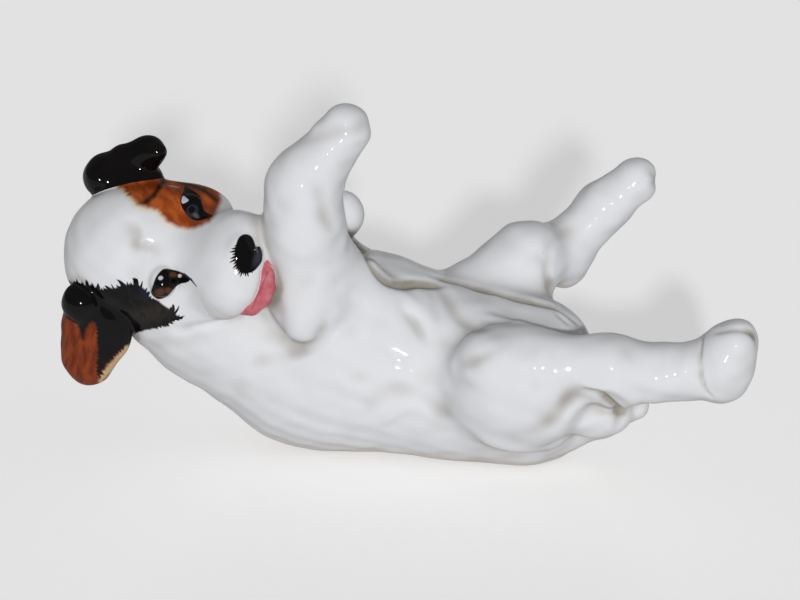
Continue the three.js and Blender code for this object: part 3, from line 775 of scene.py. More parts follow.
LOWER_EYE = [
    (151, 293), (153, 284.8), (156, 277), (160.6, 271), (165, 268.6), (173.4, 269.8), (181, 272),
    (186.4, 275.6), (190, 280), (186.4, 282.6), (181, 283.6), (176.6, 286.3), (173, 290),
    (168, 295.6), (161.4, 299), (156, 298.4),
]
EAR_BLACK_PATCH = [
    (60, 292, 0), (61, 310, 1), (66, 317, 2), (74, 321, 2), (79, 327, 1), (83, 341, 1), (86, 329, 1),
    (91, 322, 2), (96, 324, 2), (97.5, 338, 2), (98, 354, 2), (97, 368, 3), (99, 377, 4),
    (102, 370, 4), (107, 363, 3), (113, 357, 4), (120, 350, 4), (128, 344, 2), (145, 330, 0),
    (140, 290, 0), (100, 270, 0),
]
EAR_CREAM_PATCH = [
    (99, 379, 2), (104, 371, 2), (110, 364, 2), (116, 357, 2), (122, 350, 2), (128, 344, 1),
    (128, 350, 1), (122, 359, 1), (114, 369, 1), (106, 377, 1), (100, 383, 1),
]
OUTLINES = {
    "black_edge": BLACK_PATCH,
    "nose_edge": NOSE_PATCH,
    "tan_edge": TAN_PATCH,
    "upper_eye_edge": UPPER_EYE,
    "upper_white_edge": UPPER_EYE_WHITE,
    "lower_eye_edge": LOWER_EYE,
    "ear_black_edge": EAR_BLACK_PATCH,
    "ear_cream_edge": EAR_CREAM_PATCH,
}


def about_outline(outline, places):
    """For each place: how far along the outline it is, how far outside it, and the hairs there."""
    ring = smooth_path([(*place, 0)[:3] for place in outline], closed=True)
    ring = np.concatenate([ring, ring[:1]])
    nearest, where = along_path(ring[:, :2], places)
    corners = np.arange(len(ring))
    along = np.interp(where, corners, lengths_so_far(ring[:, :2]))
    hair = np.interp(where, corners, ring[:, 2])
    crossings = np.zeros(len(places), int)
    for start, end in zip(ring, ring[1:]):
        straddles = (start[1] > places[:, 1]) != (end[1] > places[:, 1])
        rise = end[1] - start[1] if abs(end[1] - start[1]) > TINY else TINY
        column = start[0] + (places[:, 1] - start[1]) * (end[0] - start[0]) / rise
        crossings += straddles & (places[:, 0] < column)
    across = np.where(crossings % 2 == 1, -nearest, nearest)
    return np.stack([along, across, np.maximum(hair, 0)], 1)


# Pooled glaze and painted shade darken grooves and corners, where other skin comes within a
# reach above a point
SHADE_POOL_DEPTH = 1.2
MOST_FROM_RELIEF = 0.5
SHADE_POOL_REACHES = (1.2, 3.0)
SHADE_POOL_START = 0.1
SHADE_POOL_SHARE = 0.8
# Painted warm shade where the skin faces down, and the foot wiped bare of glaze
UNDERSIDE_START = 0.65
UNDERSIDE_RANGE = 0.35
FOOT_HEIGHT = 0.45


def glaze_attributes(points, normals, height):
    """Painted shade with pooled glaze in hollows, painted warm shade below, and the bare foot."""
    hollow = np.clip(-height / SHADE_POOL_DEPTH, 0, MOST_FROM_RELIEF)
    for reach in SHADE_POOL_REACHES:
        above = skin_distance(points + reach * normals)
        hollow += SHADE_POOL_SHARE * np.clip(1 - above / reach - SHADE_POOL_START, 0, 1)
    return {
        "pooled": np.clip(hollow, 0, 1),
        "underside": np.clip((-normals[:, 2] - UNDERSIDE_START) / UNDERSIDE_RANGE, 0, 1),
        "foot": np.clip(1 - points[:, 2] / FOOT_HEIGHT, 0, 1),
    }


EYES_AND_NOSE = [(193, 205), (172, 283), (249, 255)]
EYES_AND_NOSE_REACH = 7.5


def paint_attributes(points, normals):
    """Where the enamel lies on the head's pieces.

    Only the skin round the eyes and the nose counts as facing the view."""
    places = to_picture(points)
    facing = -(normals @ VIEW_AXES[:, 2])
    middles = from_picture(EYES_AND_NOSE)
    apart = np.min([np.linalg.norm(points - middle, axis=1) for middle in middles], axis=0)
    facing = np.where(apart < EYES_AND_NOSE_REACH, facing, -1)
    found = {name: about_outline(outline, places) for name, outline in OUTLINES.items()}
    found["picture_place"] = np.concatenate([places, facing[:, None]], 1)
    return found


def add_thing(name, data):
    made = bpy.data.objects.new(name, data)
    bpy.context.scene.collection.objects.link(made)
    return made


def add_mesh(name, points, normals, triangles, attributes):
    mesh = bpy.data.meshes.new(name)
    mesh.vertices.add(len(points))
    mesh.vertices.foreach_set("co", np.float32(points * MM).ravel())
    mesh.loops.add(triangles.size)
    mesh.loops.foreach_set("vertex_index", np.int32(triangles).ravel())
    mesh.polygons.add(len(triangles))
    mesh.polygons.foreach_set("loop_start", np.arange(0, triangles.size, 3, dtype=np.int32))
    mesh.update(calc_edges=True)
    mesh.validate()
    mesh.normals_split_custom_set_from_vertices(normals)
    for key, values in attributes.items():
        is_vector = values.ndim == 2
        layer = mesh.attributes.new(key, "FLOAT_VECTOR" if is_vector else "FLOAT", "POINT")
        layer.data.foreach_set("vector" if is_vector else "value", np.float32(values).ravel())
    return add_thing(name, mesh)


# Slot names of the painted castings, white china for the others. The pieces are not given them.
SLOTS = {"left_ear": "black_enamel", "right_ear": "rust_enamel", "tongue": "pink_enamel"}


def make_piece(name):
    """One casting's share of the skin, with a rim, glazed and standing for its node."""
    points, normals, height, triangles, casting = skin_of(name)
    own = triangles[casting == list(CASTINGS).index(name)]
    own, (points, normals, height) = only_used(own, points, normals, height)
    points, normals, triangles = rimmed(points, normals, own)
    attributes = glaze_attributes(points, normals, np.pad(height, (0, len(points) - len(height))))
    if name in HEAD_PIECES:
        attributes.update(paint_attributes(points, normals))
    made = add_mesh(name + "_skin", points, normals, triangles, attributes)
    made.data.materials.append(material_of(name))
    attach(made, "root")
    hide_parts(name)
    SLOTS.get(name, "white_china")


def box_of(names):
    """The box round some castings' nodes, in millimetres, with room for the skin."""
    lows, highs = zip(*(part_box(name) for name in names))
    return np.min(lows, axis=0) / MM - GRID_MARGIN, np.max(highs, axis=0) / MM + GRID_MARGIN


BODY_PIECES = tuple(name for name in CASTINGS if name not in HEAD_PIECES)
skins = {}


def skin_of(name):
    """The finely sampled skin of the head's pieces, or the skin of the rest, made once."""
    if not skins:
        relief = relief_function()
        for names, cell, underlap in ((HEAD_PIECES, HEAD_GRID, 0), (BODY_PIECES, BODY_GRID, UNDERLAP)):
            skins.update(dict.fromkeys(names, cut_skin(names, cell, underlap, relief)))
    return skins[name]


# Shader nodes
class Wiring:
    """Adds nodes to a tree, and joins each one's inputs to sockets or sets them to values."""

    def __init__(self, tree):
        self.tree = tree

    def feed(self, socket, value):
        if isinstance(value, bpy.types.NodeSocket):
            self.tree.links.new(value, socket)
        elif socket.type == "RGBA" and len(value) == 3:
            socket.default_value = (*value, 1)
        else:
            socket.default_value = value

    def add(self, kind, *inputs, **settings):
        node = self.tree.nodes.new(kind)
        for name, setting in settings.items():
            setattr(node, name, setting)
        for socket, value in zip(node.inputs, inputs):
            self.feed(socket, value)
        return node

    def fed(self, node, **values):
        """The first output of a node, once the inputs of those names are fed."""
        for name, value in values.items():
            self.feed(node.inputs[name.replace("_", " ").title()], value)
        return node.outputs[0]

    def group(self, name, **values):
        return self.fed(self.add("ShaderNodeGroup", node_tree=shared[name]), **values)

    def noise(self, place, scale, detail):
        return self.fed(self.add("ShaderNodeTexNoise"), vector=place, scale=scale, detail=detail)

    def rotated(self, vector, angle):
        node = self.add("ShaderNodeVectorRotate", rotation_type="Z_AXIS")
        return self.fed(node, vector=vector, angle=angle)

    def scaled(self, vector, scale):
        return self.fed(self.add("ShaderNodeVectorMath", vector, operation="SCALE"), scale=scale)

    def math(self, operation, *inputs, **settings):
        return self.add("ShaderNodeMath", *inputs, operation=operation, **settings).outputs[0]

    def vector(self, operation, *inputs):
        node = self.add("ShaderNodeVectorMath", *inputs, operation=operation)
        return node.outputs["Value" if operation in ("LENGTH", "DOT_PRODUCT") else "Vector"]

    def parts(self, vector):
        return self.add("ShaderNodeSeparateXYZ", vector).outputs

    def step(self, value, start, end):
        """From 0 at start to 1 at end, smoothly."""
        node = self.add("ShaderNodeMapRange", value, start, end, 0.0, 1.0,
                        interpolation_type="SMOOTHSTEP")
        return node.outputs[0]

    def inside(self, edge, softness):
        """The mask of what lies inside an edge."""
        return self.step(edge, softness, self.math("MULTIPLY", softness, -1.0))

    def mix(self, share, below, above):
        node = self.add("ShaderNodeMix", data_type="RGBA")
        for place, value in ((0, share), (6, below), (7, above)):
            self.feed(node.inputs[place], value)
        return node.outputs[2]

    def attribute(self, name, output="Vector"):
        return self.add("ShaderNodeAttribute", attribute_name=name).outputs[output]

    def object_place(self):
        return self.add("ShaderNodeTexCoord").outputs["Object"]

    def picture_place(self):
        """The pixel at which the photograph shows the shaded point."""
        return self.vector("MULTIPLY", self.attribute("picture_place"), (1.0, 1.0, 0.0))


def brush_stroke(wiring, given):
    """The mask of one stroke between two places, wider at one end than at the other."""
    offset = wiring.vector("SUBTRACT", given["Place"], given["Start"])
    axis = wiring.vector("SUBTRACT", given["End"], given["Start"])
    reach = wiring.math("DIVIDE", wiring.vector("DOT_PRODUCT", offset, axis),
                        wiring.vector("DOT_PRODUCT", axis, axis), use_clamp=True)
    apart = wiring.vector("LENGTH", wiring.vector("SUBTRACT", offset, wiring.scaled(axis, reach)))
    growth = wiring.math("SUBTRACT", given["End Width"], given["Start Width"])
    width = wiring.math("MULTIPLY_ADD", growth, reach, given["Start Width"])
    edge = wiring.math("SUBTRACT", apart, wiring.math("MULTIPLY", width, 0.5))
    return wiring.inside(edge, given["Softness"])


def enamel_spot(wiring, given):
    """The mask of an oval spot, turned by an angle."""
    offset = wiring.rotated(wiring.vector("SUBTRACT", given["Place"], given["Centre"]), given["Angle"])
    near = wiring.vector("LENGTH", wiring.vector("DIVIDE", offset, given["Half Size"]))
    return wiring.inside(wiring.math("SUBTRACT", near, 1.0), given["Softness"])


# Coarse and fine brush hairs: their density against the given one, their row in the noise, the
# levels of the noise between which a hair grows, and their share of the outline's hair length
HAIRS = ((1.0, 0.0, 0.38, 0.66, 0.75), (1.9, 7.3, 0.36, 0.7, 0.45))
HAIR_TRIM = 0.25


def hairy_edge(wiring, given):
    """The mask inside an outline, with brushed hairs sticking out of it."""
    along, across, longest = wiring.parts(given["Edge"])
    along = wiring.math("MULTIPLY_ADD", across, given["Lean"], along)
    hairs = -HAIR_TRIM
    for density, row, low, high, share in HAIRS:
        place = wiring.add("ShaderNodeCombineXYZ", along, row, 0.0).outputs[0]
        noise = wiring.noise(place, wiring.math("MULTIPLY", given["Density"], density), 1.0)
        hairs = wiring.math("MULTIPLY_ADD", wiring.step(noise, low, high), share, hairs)
    reach = wiring.math("MULTIPLY", longest, wiring.math("MAXIMUM", hairs, 0.0))
    return wiring.inside(wiring.math("SUBTRACT", across, reach), given["Softness"])


def brushed_colour(wiring, given):
    """Enamel that was laid on in streaks, thick in one colour and thin in the other."""
    place = wiring.vector("MULTIPLY", wiring.rotated(given["Place"], given["Angle"]), given["Stretch"])
    streaks = wiring.step(wiring.noise(place, given["Scale"], 3.0), given["Low"], given["High"])
    return wiring.mix(streaks, given["Thick"], given["Thin"])


# Patches in the glaze: their density, the levels of the noise between which they lie, and for
# pooled glaze with painted shade in the hollows and for painted warm shade underneath, what
# they add and what shows without them
SHADE_POOL_CONTRAST = 1.5
PATCH_DENSITY = 160.0
PATCH_LEVELS = (0.3, 0.75)
POOLED_SHADE_SHARES = (0.5, 0.6)
UNDER_SHADE_SHARES = (0.5, 0.5)


def china_glaze(wiring, given):
    """White china, with pooled glaze and painted shade in hollows and painted warm shade below."""
    patchy = wiring.step(wiring.noise(wiring.object_place(), PATCH_DENSITY, 3.0), *PATCH_LEVELS)
    # Painted shade in the hollows, darkening them together with the pooled glaze
    depth = wiring.math("POWER", wiring.attribute("pooled", "Fac"), SHADE_POOL_CONTRAST)
    pooled = wiring.math("MULTIPLY", depth, wiring.math("MULTIPLY_ADD", patchy, *POOLED_SHADE_SHARES))
    # Painted warm shade, darker and warmer where the skin faces down
    underside = wiring.attribute("underside", "Fac")
    stained = wiring.math("MULTIPLY", underside, wiring.math("MULTIPLY_ADD", patchy, *UNDER_SHADE_SHARES))
    colour = wiring.mix(wiring.math("MINIMUM", pooled, 1.0), given["Clean"], given["Pooled"])
    colour = wiring.mix(stained, colour, given["Stained"])
    return wiring.mix(wiring.attribute("foot", "Fac"), colour, given["Bare"])


def glaze_ripple(wiring, given):
    """The normal of a glaze that flowed unevenly."""
    height = wiring.noise(wiring.object_place(), given["Scale"], 2.0)
    return wiring.fed(wiring.add("ShaderNodeBump"), strength=1.0, distance=given["Depth"], height=height)


# The effects that materials share: a name, an output, how it is wired, and its inputs by kind
GROUPS = {
    "stroke": ("Brush stroke", "Mask", brush_stroke,
               {"Vector": ("Place", "Start", "End"), "Float": ("Start Width", "End Width", "Softness")}),
    "spot": ("Enamel spot", "Mask", enamel_spot,
             {"Vector": ("Place", "Centre", "Half Size"), "Float": ("Angle", "Softness")}),
    "hairy": ("Hairy edge", "Mask", hairy_edge,
              {"Vector": ("Edge",), "Float": ("Density", "Lean", "Softness")}),
    "brushed": ("Brushed colour", "Color", brushed_colour,
                {"Color": ("Thick", "Thin"), "Vector": ("Place", "Stretch"),
                 "Float": ("Angle", "Scale", "Low", "High")}),
    "china": ("China colour", "Color", china_glaze, {"Color": ("Clean", "Pooled", "Stained", "Bare")}),
    "ripple": ("Glaze ripple", "Normal", glaze_ripple, {"Float": ("Scale", "Depth")}),
}
OUTPUT_KINDS = {"Mask": "Float", "Color": "Color", "Normal": "Vector"}
shared = {}


def make_shared_groups():
    """Builds each effect once, with an input and an output of each name."""
    for key, (name, output, wire, inputs) in GROUPS.items():
        tree = bpy.data.node_groups.new(name, "ShaderNodeTree")
        sockets = [(output, "OUTPUT", OUTPUT_KINDS[output])]
        sockets += [(label, "INPUT", kind) for kind, labels in inputs.items() for label in labels]
        for label, side, kind in sockets:
            tree.interface.new_socket(label, in_out=side, socket_type="NodeSocket" + kind)
        wiring = Wiring(tree)
        result = wire(wiring, wiring.add("NodeGroupInput").outputs)
        wiring.feed(wiring.add("NodeGroupOutput").inputs[0], result)
        shared[key] = tree


def new_material(name, values_of):
    """A material whose shader takes the values that values_of wires up for it."""
    material = bpy.data.materials.new(name)
    material.use_nodes = True
    wiring = Wiring(material.node_tree)
    shader = material.node_tree.nodes["Principled BSDF"]
    for label, value in values_of(wiring).items():
        wiring.feed(shader.inputs[label], value)
    return material


GLAZE_ROUGHNESS = 0.05
GLAZE_GLOSS = 0.32
GLAZE_IOR = 1.5
CLAY_ROUGHNESS = 0.45
RIPPLE_DENSITY = 420.0
RIPPLE_DEPTH = 0.00004


def glazed(name, colour_of):
    """A glazed material. colour_of wires its colour from the groups that materials share."""

    def values_of(wiring):
        ripple = wiring.group("ripple", scale=RIPPLE_DENSITY, depth=RIPPLE_DEPTH)
        return {
            "Base Color": colour_of(wiring), "Roughness": CLAY_ROUGHNESS, "Specular IOR Level": 0.0,
            "Coat Weight": GLAZE_GLOSS, "Coat Roughness": GLAZE_ROUGHNESS, "Coat IOR": GLAZE_IOR,
            "Normal": ripple, "Coat Normal": ripple,
        }

    return new_material(name, values_of)


def china_colour(wiring):
    glaze = bpy.context.scene.figurine_glaze
    # Colours for pooled glaze with painted shade in hollows, and for painted warm shade below
    return wiring.group("china", clean=tuple(glaze.clean), pooled=tuple(glaze.pooled),
                        stained=tuple(glaze.stained), bare=tuple(glaze.bare))


def brushed(wiring, place, thick, thin, narrow, degrees, density, low, high):
    """Brushed enamel, its streaks narrowed across and turned by an angle."""
    return wiring.group("brushed", thick=thick, thin=thin, place=place, stretch=(1.0, narrow, 1.0),
                        angle=math.radians(degrees), scale=density, low=low, high=high)


# Patch edges: the density of the hairs at them, how the hairs lean and how soft they are
PATCH_EDGES = {
    "tan_edge": (0.16, 0.3, 3.2),
    "black_edge": (0.27, 0.35, 1.2),
    "ear_black_edge": (0.3, 0.2, 1.8),
    "ear_cream_edge": (0.2, 0.3, 2.2),
}


def patch(wiring, outline):
    """The mask of a patch whose edge is brushed out in hairs."""
    edge, (density, lean, softness) = wiring.attribute(outline), PATCH_EDGES[outline]
    return wiring.group("hairy", edge=edge, density=density, lean=lean, softness=softness)


def paint_inside(wiring, below, outline, colour, softness):
    """Paints inside an outline with a clean edge."""
    across = wiring.parts(wiring.attribute(outline))[1]
    return wiring.mix(wiring.step(across, softness, -softness), below, colour)


def paint_strokes(wiring, below, place, colour, softness, strokes):
    """Paints strokes, each given by its start, its end and the width at each."""
    for start, end, start_width, end_width in strokes:
        mask = wiring.group("stroke", place=place, start=(*start, 0), end=(*end, 0),
                            start_width=start_width, end_width=end_width, softness=softness)
        below = wiring.mix(mask, below, colour)
    return below


def paint_spots(wiring, below, place, spots):
    """Paints spots, each given by its colour, middle, half size, turn in degrees and softness."""
    for colour, centre, half_size, degrees, softness in spots:
        mask = wiring.group("spot", place=place, centre=(*centre, 0), half_size=(*half_size, 1),
                            angle=math.radians(degrees), softness=softness)
        below = wiring.mix(mask, below, colour)
    return below


def linear(*levels):
    """A colour from its levels of 0 to 255, as the picture shows them."""
    shares = [level / 255 for level in levels]
    return tuple(c / 12.92 if c <= 0.04045 else ((c + 0.055) / 1.055) ** 2.4 for c in shares)


BLACK = linear(13, 11, 12)
BLUE_BLACK = linear(20, 22, 42)
BROWN_BLACK = linear(28, 18, 15)
DEEP_BROWN = linear(48, 26, 16)
SMOKE = linear(42, 37, 32)
RUST = linear(134, 58, 24)
DARK_RUST = linear(102, 38, 14)
PALE_RUST = linear(136, 58, 22)
ORANGE = linear(174, 88, 38)
CREAM = linear(218, 190, 146)
EYE_WHITE = linear(190, 194, 204)
PINK_WHITE = linear(208, 196, 198)
IRIS_BLUE = linear(44, 43, 54)
IRIS_GREY = linear(84, 88, 88)
IRIS_BROWN = linear(84, 48, 30)
LASH = linear(34, 44, 44)
NOSE_GREY = linear(50, 50, 60)
# A pale grey for the painted highlight on the nose
NOSE_SHEEN = linear(96, 100, 112)
PINK = linear(188, 92, 104)
PALE_PINK = linear(204, 130, 136)
PINK_LINE = linear(150, 56, 72)

# Brushwork: the thick and the thin colour, how narrow and how turned the streaks are, their
# density, and the levels of the noise between which the enamel thins
TAN_BRUSHWORK = (RUST, ORANGE, 0.5, 35, 0.09, 0.38, 0.66)
BLACK_BRUSHWORK = (BLACK, SMOKE, 0.4, 30, 0.2, 0.55, 0.85)
SMOKY_BRUSHWORK = (SMOKE, BLACK, 0.35, 20, 0.26, 0.5, 0.75)
LEFT_EAR_BRUSHWORK = (BLACK, BROWN_BLACK, 1.0, 0, 220.0, 0.5, 0.8)
RIGHT_EAR_BRUSHWORK = (DARK_RUST, PALE_RUST, 0.3, -8, 0.2, 0.35, 0.65)
TONGUE_BRUSHWORK = (PINK, PALE_PINK, 1.0, 0, 0.12, 0.3, 0.8)
CREAM_STREAK_SHARE = 0.75

# Brush marks: a colour, a softness and strokes in picture pixels
BROW_STROKES = pairs([(165, 179), (160, 186), (154, 195), (147, 201), (139, 206)],
                     [4.5, 4.5, 4.05, 3.6, 1.8])
TAN_STROKES = pairs([(168, 177), (186, 183), (204, 190), (216, 200)], [3.6, 4.5, 4.5, 3.6])
TAN_SHADE = (DEEP_BROWN, 2.6, TAN_STROKES + BROW_STROKES)
LASHES = (LASH, 0.6, [((184, 274.5), (191, 279.5), 3, 2), ((191, 279.5), (196.5, 286.5), 1.8, 0.8)])
# A painted highlight: a pale streak across the black nose
NOSE_SHINE = (NOSE_SHEEN, 1.6, [((256, 246), (257.4, 252), 0.8, 0.4)])
TONGUE_LINE = (PINK_LINE, 1.2, [((268, 272), (252, 309), 0.6, 0.6)])

# Spots: a colour, a middle and a half size in picture pixels, a turn in degrees and a softness
BLUE_SPOTS = [(BLUE_BLACK, (146, 291), (6, 7), 0, 0.7)]
SMOKY_PLACE = ((153, 313), (20, 8), 12, 0.7)
UPPER_EYE_SPOTS = [
    (IRIS_BLUE, (192.3, 211), (5.8, 6.6), -35, 0.25),
    (IRIS_GREY, (196, 215.6), (3.4, 2.2), -35, 0.5),
    (BLACK, (191.6, 209.8), (3.2, 3.8), -35, 0.35),
]
LOWER_EYE_SPOTS = [
    (IRIS_BROWN, (159.5, 292.5), (5.5, 3.6), 25, 0.5),
    (IRIS_BROWN, (168.4, 290.4), (3.2, 2.8), 0, 0.5),
    (IRIS_BROWN, (173.2, 274.6), (3.6, 2.6), 0, 0.5),
    (EYE_WHITE, (160.6, 278), (2.4, 2.0), 20, 0.4),
    (PINK_WHITE, (179.8, 275.8), (1.9, 1.7), 0, 0.4),
]
NOSE_SPOTS = [(NOSE_GREY, (257.5, 258), (3.6, 8.5), -20, 0.7)]
CLEAN_EDGE = 0.6
EYE_WHITE_EDGE = 0.5

# Short hairs outwards round the left and the lower edge of the nose, in picture pixels and degrees
NOSE_MIDDLE = (244.5, 255)
NOSE_HALF = (8.5, 16)
NOSE_HAIRS = 17
NOSE_HAIR_ANGLES = (55, 215)
NOSE_HAIR_LENGTHS = (5.5, 3.6, 6.5)
NOSE_HAIR_WIDTHS = (3.2, 0.7)
NOSE_HAIR_FALL = (0.6, 0.35)
NOSE_HAIR_SOFTNESS = 0.5


def nose_hairs():
    """Strokes outwards from the nose's edge, bent downwards."""
    first, last = NOSE_HAIR_ANGLES
    share, drop = NOSE_HAIR_FALL
    for i in range(NOSE_HAIRS):
        angle = math.radians(first + (last - first) * i / (NOSE_HAIRS - 1))
        across, down = math.cos(angle), math.sin(angle)
        start = (NOSE_MIDDLE[0] + NOSE_HALF[0] * across, NOSE_MIDDLE[1] + NOSE_HALF[1] * down)
        length = NOSE_HAIR_LENGTHS[i % len(NOSE_HAIR_LENGTHS)]
        end = (start[0] + length * across, start[1] + length * (share * down + drop))
        yield start, end, *NOSE_HAIR_WIDTHS


def paint_eyes_and_nose(wiring, face, place):
    face = paint_inside(wiring, face, "upper_eye_edge", BLACK, CLEAN_EDGE)
    face = paint_spots(wiring, face, place, UPPER_EYE_SPOTS)
    face = paint_inside(wiring, face, "upper_white_edge", EYE_WHITE, EYE_WHITE_EDGE)
    face = paint_inside(wiring, face, "lower_eye_edge", BLACK, CLEAN_EDGE)
    face = paint_spots(wiring, face, place, LOWER_EYE_SPOTS)
    face = paint_strokes(wiring, face, place, *LASHES)
    face = paint_inside(wiring, face, "nose_edge", BLACK, CLEAN_EDGE)
    face = paint_strokes(wiring, face, place, BLACK, NOSE_HAIR_SOFTNESS, nose_hairs())
    face = paint_spots(wiring, face, place, NOSE_SPOTS)
    # The painted highlight on the nose
    return paint_strokes(wiring, face, place, *NOSE_SHINE)


# The cream halo of the tan patch: pixels from its edge, picture columns and strength, and how
# squarely skin has to face the view for the eyes and the nose to show on it
HALO_REACH = (8.0, -1.0)
HALO_COLUMNS = (195.0, 150.0)
HALO_SHARE = 0.8
FACING_VIEW = (0.05, 0.2)


def head_colour(wiring):
    """White china with a tan patch and a black one, two eyes and the nose."""
    place = wiring.picture_place()
    tan = paint_strokes(wiring, brushed(wiring, place, *TAN_BRUSHWORK), place, *TAN_SHADE)
    halo = wiring.step(wiring.parts(wiring.attribute("tan_edge"))[1], *HALO_REACH)
    left = wiring.step(wiring.parts(place)[0], *HALO_COLUMNS)
    cream = wiring.math("MULTIPLY", halo, wiring.math("MULTIPLY", left, HALO_SHARE))
    colour = wiring.mix(cream, china_colour(wiring), CREAM)
    colour = wiring.mix(patch(wiring, "tan_edge"), colour, tan)
    smoky = (brushed(wiring, place, *SMOKY_BRUSHWORK), *SMOKY_PLACE)
    black = paint_spots(wiring, brushed(wiring, place, *BLACK_BRUSHWORK), place, [smoky] + BLUE_SPOTS)
    colour = wiring.mix(patch(wiring, "black_edge"), colour, black)
    seen = wiring.step(wiring.parts(wiring.attribute("picture_place"))[2], *FACING_VIEW)
    return wiring.mix(seen, colour, paint_eyes_and_nose(wiring, colour, place))


def left_ear_colour(wiring):
    return brushed(wiring, wiring.object_place(), *LEFT_EAR_BRUSHWORK)


def right_ear_colour(wiring):
    """Rust in two streaks under a black root, with a cream streak beside them."""
    rust = brushed(wiring, wiring.picture_place(), *RIGHT_EAR_BRUSHWORK)
    cream = wiring.math("MULTIPLY", patch(wiring, "ear_cream_edge"), CREAM_STREAK_SHARE)
    return wiring.mix(patch(wiring, "ear_black_edge"), wiring.mix(cream, rust, CREAM), BLACK)


def tongue_colour(wiring):
    place = wiring.picture_place()
    return paint_strokes(wiring, brushed(wiring, place, *TONGUE_BRUSHWORK), place, *TONGUE_LINE)


COLOURS = {
    "head": head_colour,
    "left_ear": left_ear_colour,
    "right_ear": right_ear_colour,
    "tongue": tongue_colour,
}
materials = {}


def material_of(name):
    """The material of a casting, made once."""
    key = name if name in COLOURS else "china"
    if not shared:
        make_shared_groups()
    if key not in materials:
        materials[key] = glazed("glazed_" + key, COLOURS.get(key, china_colour))
    return materials[key]


class FigurineGlaze(bpy.types.PropertyGroup):
    """Colours of the china, its glaze, and its painted shade in hollows and below."""
    clean: FloatVectorProperty(name="Clean", description="Glaze on the open surfaces", subtype="COLOR",
                               default=linear(224, 225, 228), min=0, max=1)
    # Pooled glaze with painted shade in the hollows
    pooled: FloatVectorProperty(name="Pooled", description="Glaze that pooled in the hollows",
                                subtype="COLOR", default=linear(152, 145, 132), min=0, max=1)
    # Painted warm shade underneath
    stained: FloatVectorProperty(name="Stained", description="Glaze underneath", subtype="COLOR",
                                 default=linear(206, 184, 154), min=0, max=1)
    bare: FloatVectorProperty(name="Bare", description="Clay of the foot, wiped free of glaze",
                              subtype="COLOR", default=linear(205, 196, 180), min=0, max=1)


class FigurineStage(bpy.types.PropertyGroup):
    """Levels and colour of the floor, the room and the lamps."""
    floor: FloatVectorProperty(name="Floor", description="Colour of the floor", subtype="COLOR",
                               default=linear(210, 210, 210), min=0, max=1)
    glow: FloatProperty(name="Glow", description="How much paler the floor looks than it lights",
                        default=0.46, min=0)
    room: FloatProperty(name="Room", description="Level of the light from all round", default=0.2, min=0)
    lamp: FloatProperty(name="Lamp", description="Level of the soft lamp beside the camera",
                        default=0.76, min=0)
    back_lamp: FloatProperty(name="Back lamp", description="Level of the lamp behind the figurine",
                             default=0.3, min=0)


def make_pieces(*names):
    for name in names:
        make_piece(name)
    return {"FINISHED"}


class FIGURINE_OT_torso(bpy.types.Operator):
    """Make the body and its neck"""
    bl_idname = "figurine.torso"
    bl_label = "Torso"

    def execute(self, context):
        return make_pieces("torso")


class FIGURINE_OT_legs(bpy.types.Operator):
    """Make the four legs"""
    bl_idname = "figurine.legs"
    bl_label = "Legs"

    def execute(self, context):
        return make_pieces("right_foreleg", "left_foreleg", "right_hind_leg", "left_hind_leg")


class FIGURINE_OT_tail(bpy.types.Operator):
    """Make the tail"""
    bl_idname = "figurine.tail"
    bl_label = "Tail"

    def execute(self, context):
        return make_pieces("tail")


class FIGURINE_OT_head(bpy.types.Operator):
    """Make the head with its painted face"""
    bl_idname = "figurine.head"
    bl_label = "Head"

    def execute(self, context):
        return make_pieces("head")


class FIGURINE_OT_ears(bpy.types.Operator):
    """Make the two ears"""
    bl_idname = "figurine.ears"
    bl_label = "Ears"

    def execute(self, context):
        return make_pieces("left_ear", "right_ear")


class FIGURINE_OT_tongue(bpy.types.Operator):
    """Make the tongue"""
    bl_idname = "figurine.tongue"
    bl_label = "Tongue"

    def execute(self, context):
        return make_pieces("tongue")


FLOOR_SIZE = 6.0
FLOOR_DROP = 0.00003
PAPER_ROUGHNESS = 0.9
LAMP_DISTANCE = 600
LAMP_AIM = (2, -4, 3)
BACK_LAMP_AIM = (180, -17, 20)
NEAREST_SEEN = 0.01


def add_lamp(name, aim, level, mirrored_in_glaze):
    """A far lamp. A white surface that faces it shows its level.

    Its aim is how far right and up of the camera it stands and how wide it is, in degrees."""
    right, up, width = aim
    lamp = bpy.data.lights.new(name, "SUN")
    lamp.angle = math.radians(width)
    lamp.energy = level * math.pi
    made = add_thing(name, lamp)
    made.visible_glossy = mirrored_in_glaze
    direction = towards(right, up)
    made.location = Vector((VIEW_TARGET + LAMP_DISTANCE * direction) * MM)
    made.rotation_euler = Vector(-direction).to_track_quat("-Z", "Y").to_euler()


def floor_paper(colour, glow):
    """Pale paper. What shows behind the figurine is a little paler than what lights it."""

    def values_of(wiring):
        path = wiring.add("ShaderNodeLightPath").outputs
        seen = wiring.math("MAXIMUM", path["Is Camera Ray"], path["Is Glossy Ray"])
        seen = wiring.math("MAXIMUM", seen, path["Is Transmission Ray"])
        return {
            "Base Color": tuple(colour), "Roughness": PAPER_ROUGHNESS, "Specular IOR Level": 0.0,
            "Emission Color": (1, 1, 1, 1), "Emission Strength": wiring.math("MULTIPLY", seen, glow),
        }

    return new_material("floor_paper", values_of)


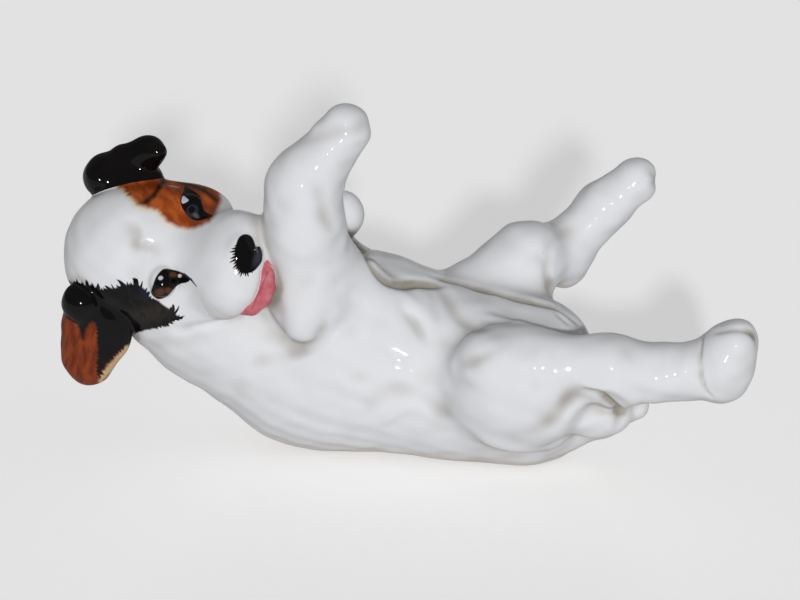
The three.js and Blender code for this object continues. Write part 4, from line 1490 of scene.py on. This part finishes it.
class FIGURINE_OT_stage(bpy.types.Operator):
    """Lay the floor, light it and set up the camera"""
    bl_idname = "figurine.stage"
    bl_label = "Stage"

    def execute(self, context):
        scene, stage = context.scene, context.scene.figurine_stage
        half = FLOOR_SIZE / 2
        corners = [(-half, -half), (half, -half), (half, half), (-half, half)]
        mesh = bpy.data.meshes.new("floor")
        mesh.from_pydata([(*corner, -FLOOR_DROP) for corner in corners], [], [(0, 1, 2, 3)])
        mesh.materials.append(floor_paper(stage.floor, stage.glow))
        add_thing("floor", mesh)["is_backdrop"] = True
        scene.world = scene.world or bpy.data.worlds.new("room")
        scene.world.use_nodes = True
        background = scene.world.node_tree.nodes["Background"].inputs
        background["Color"].default_value = (1, 1, 1, 1)
        background["Strength"].default_value = stage.room
        add_lamp("soft_lamp", LAMP_AIM, stage.lamp, True)
        add_lamp("back_lamp", BACK_LAMP_AIM, stage.back_lamp, False)
        lens = bpy.data.cameras.new("camera")
        lens.sensor_width = SENSOR_WIDTH
        lens.lens = SENSOR_WIDTH * PIXELS_PER_MM * VIEW_DISTANCE / PICTURE_SIZE[0]
        lens.clip_start = NEAREST_SEEN
        scene.camera = add_thing("camera", lens)
        scene.camera.location = Vector(VIEWPOINT * MM)
        scene.camera.rotation_euler = Vector(VIEW_AXES[:, 2]).to_track_quat("-Z", "Y").to_euler()
        scene.view_settings.view_transform = "Standard"
        return {"FINISHED"}


class FIGURINE_PT_panel(bpy.types.Panel):
    """The figurine's colours and the making of its pieces"""
    bl_label = "Dog figurine"
    bl_idname = "FIGURINE_PT_panel"
    bl_space_type = "VIEW_3D"
    bl_region_type = "UI"
    bl_category = "Figurine"

    def draw(self, context):
        for settings in (context.scene.figurine_glaze, context.scene.figurine_stage):
            for name in settings.__annotations__:
                self.layout.prop(settings, name)
        for operator in MAKING_ORDER:
            self.layout.operator("figurine." + operator)


MAKING_ORDER = ("torso", "legs", "tail", "head", "ears", "tongue", "stage")
CLASSES = (
    FigurineGlaze, FigurineStage, FIGURINE_OT_torso, FIGURINE_OT_legs, FIGURINE_OT_tail,
    FIGURINE_OT_head, FIGURINE_OT_ears, FIGURINE_OT_tongue, FIGURINE_OT_stage, FIGURINE_PT_panel,
)


def register():
    for each in CLASSES:
        bpy.utils.register_class(each)
    bpy.types.Scene.figurine_glaze = PointerProperty(type=FigurineGlaze)
    bpy.types.Scene.figurine_stage = PointerProperty(type=FigurineStage)


def unregister():
    del bpy.types.Scene.figurine_stage
    del bpy.types.Scene.figurine_glaze
    for each in reversed(CLASSES):
        bpy.utils.unregister_class(each)


def main():
    register()
    for operator in MAKING_ORDER:
        getattr(bpy.ops.figurine, operator)()
    boxes = {"cad": cad_box, "visual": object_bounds()}
    {name: [list(low), list(high)] for name, (low, high) in boxes.items()}


if __name__ == "__main__":
    main()
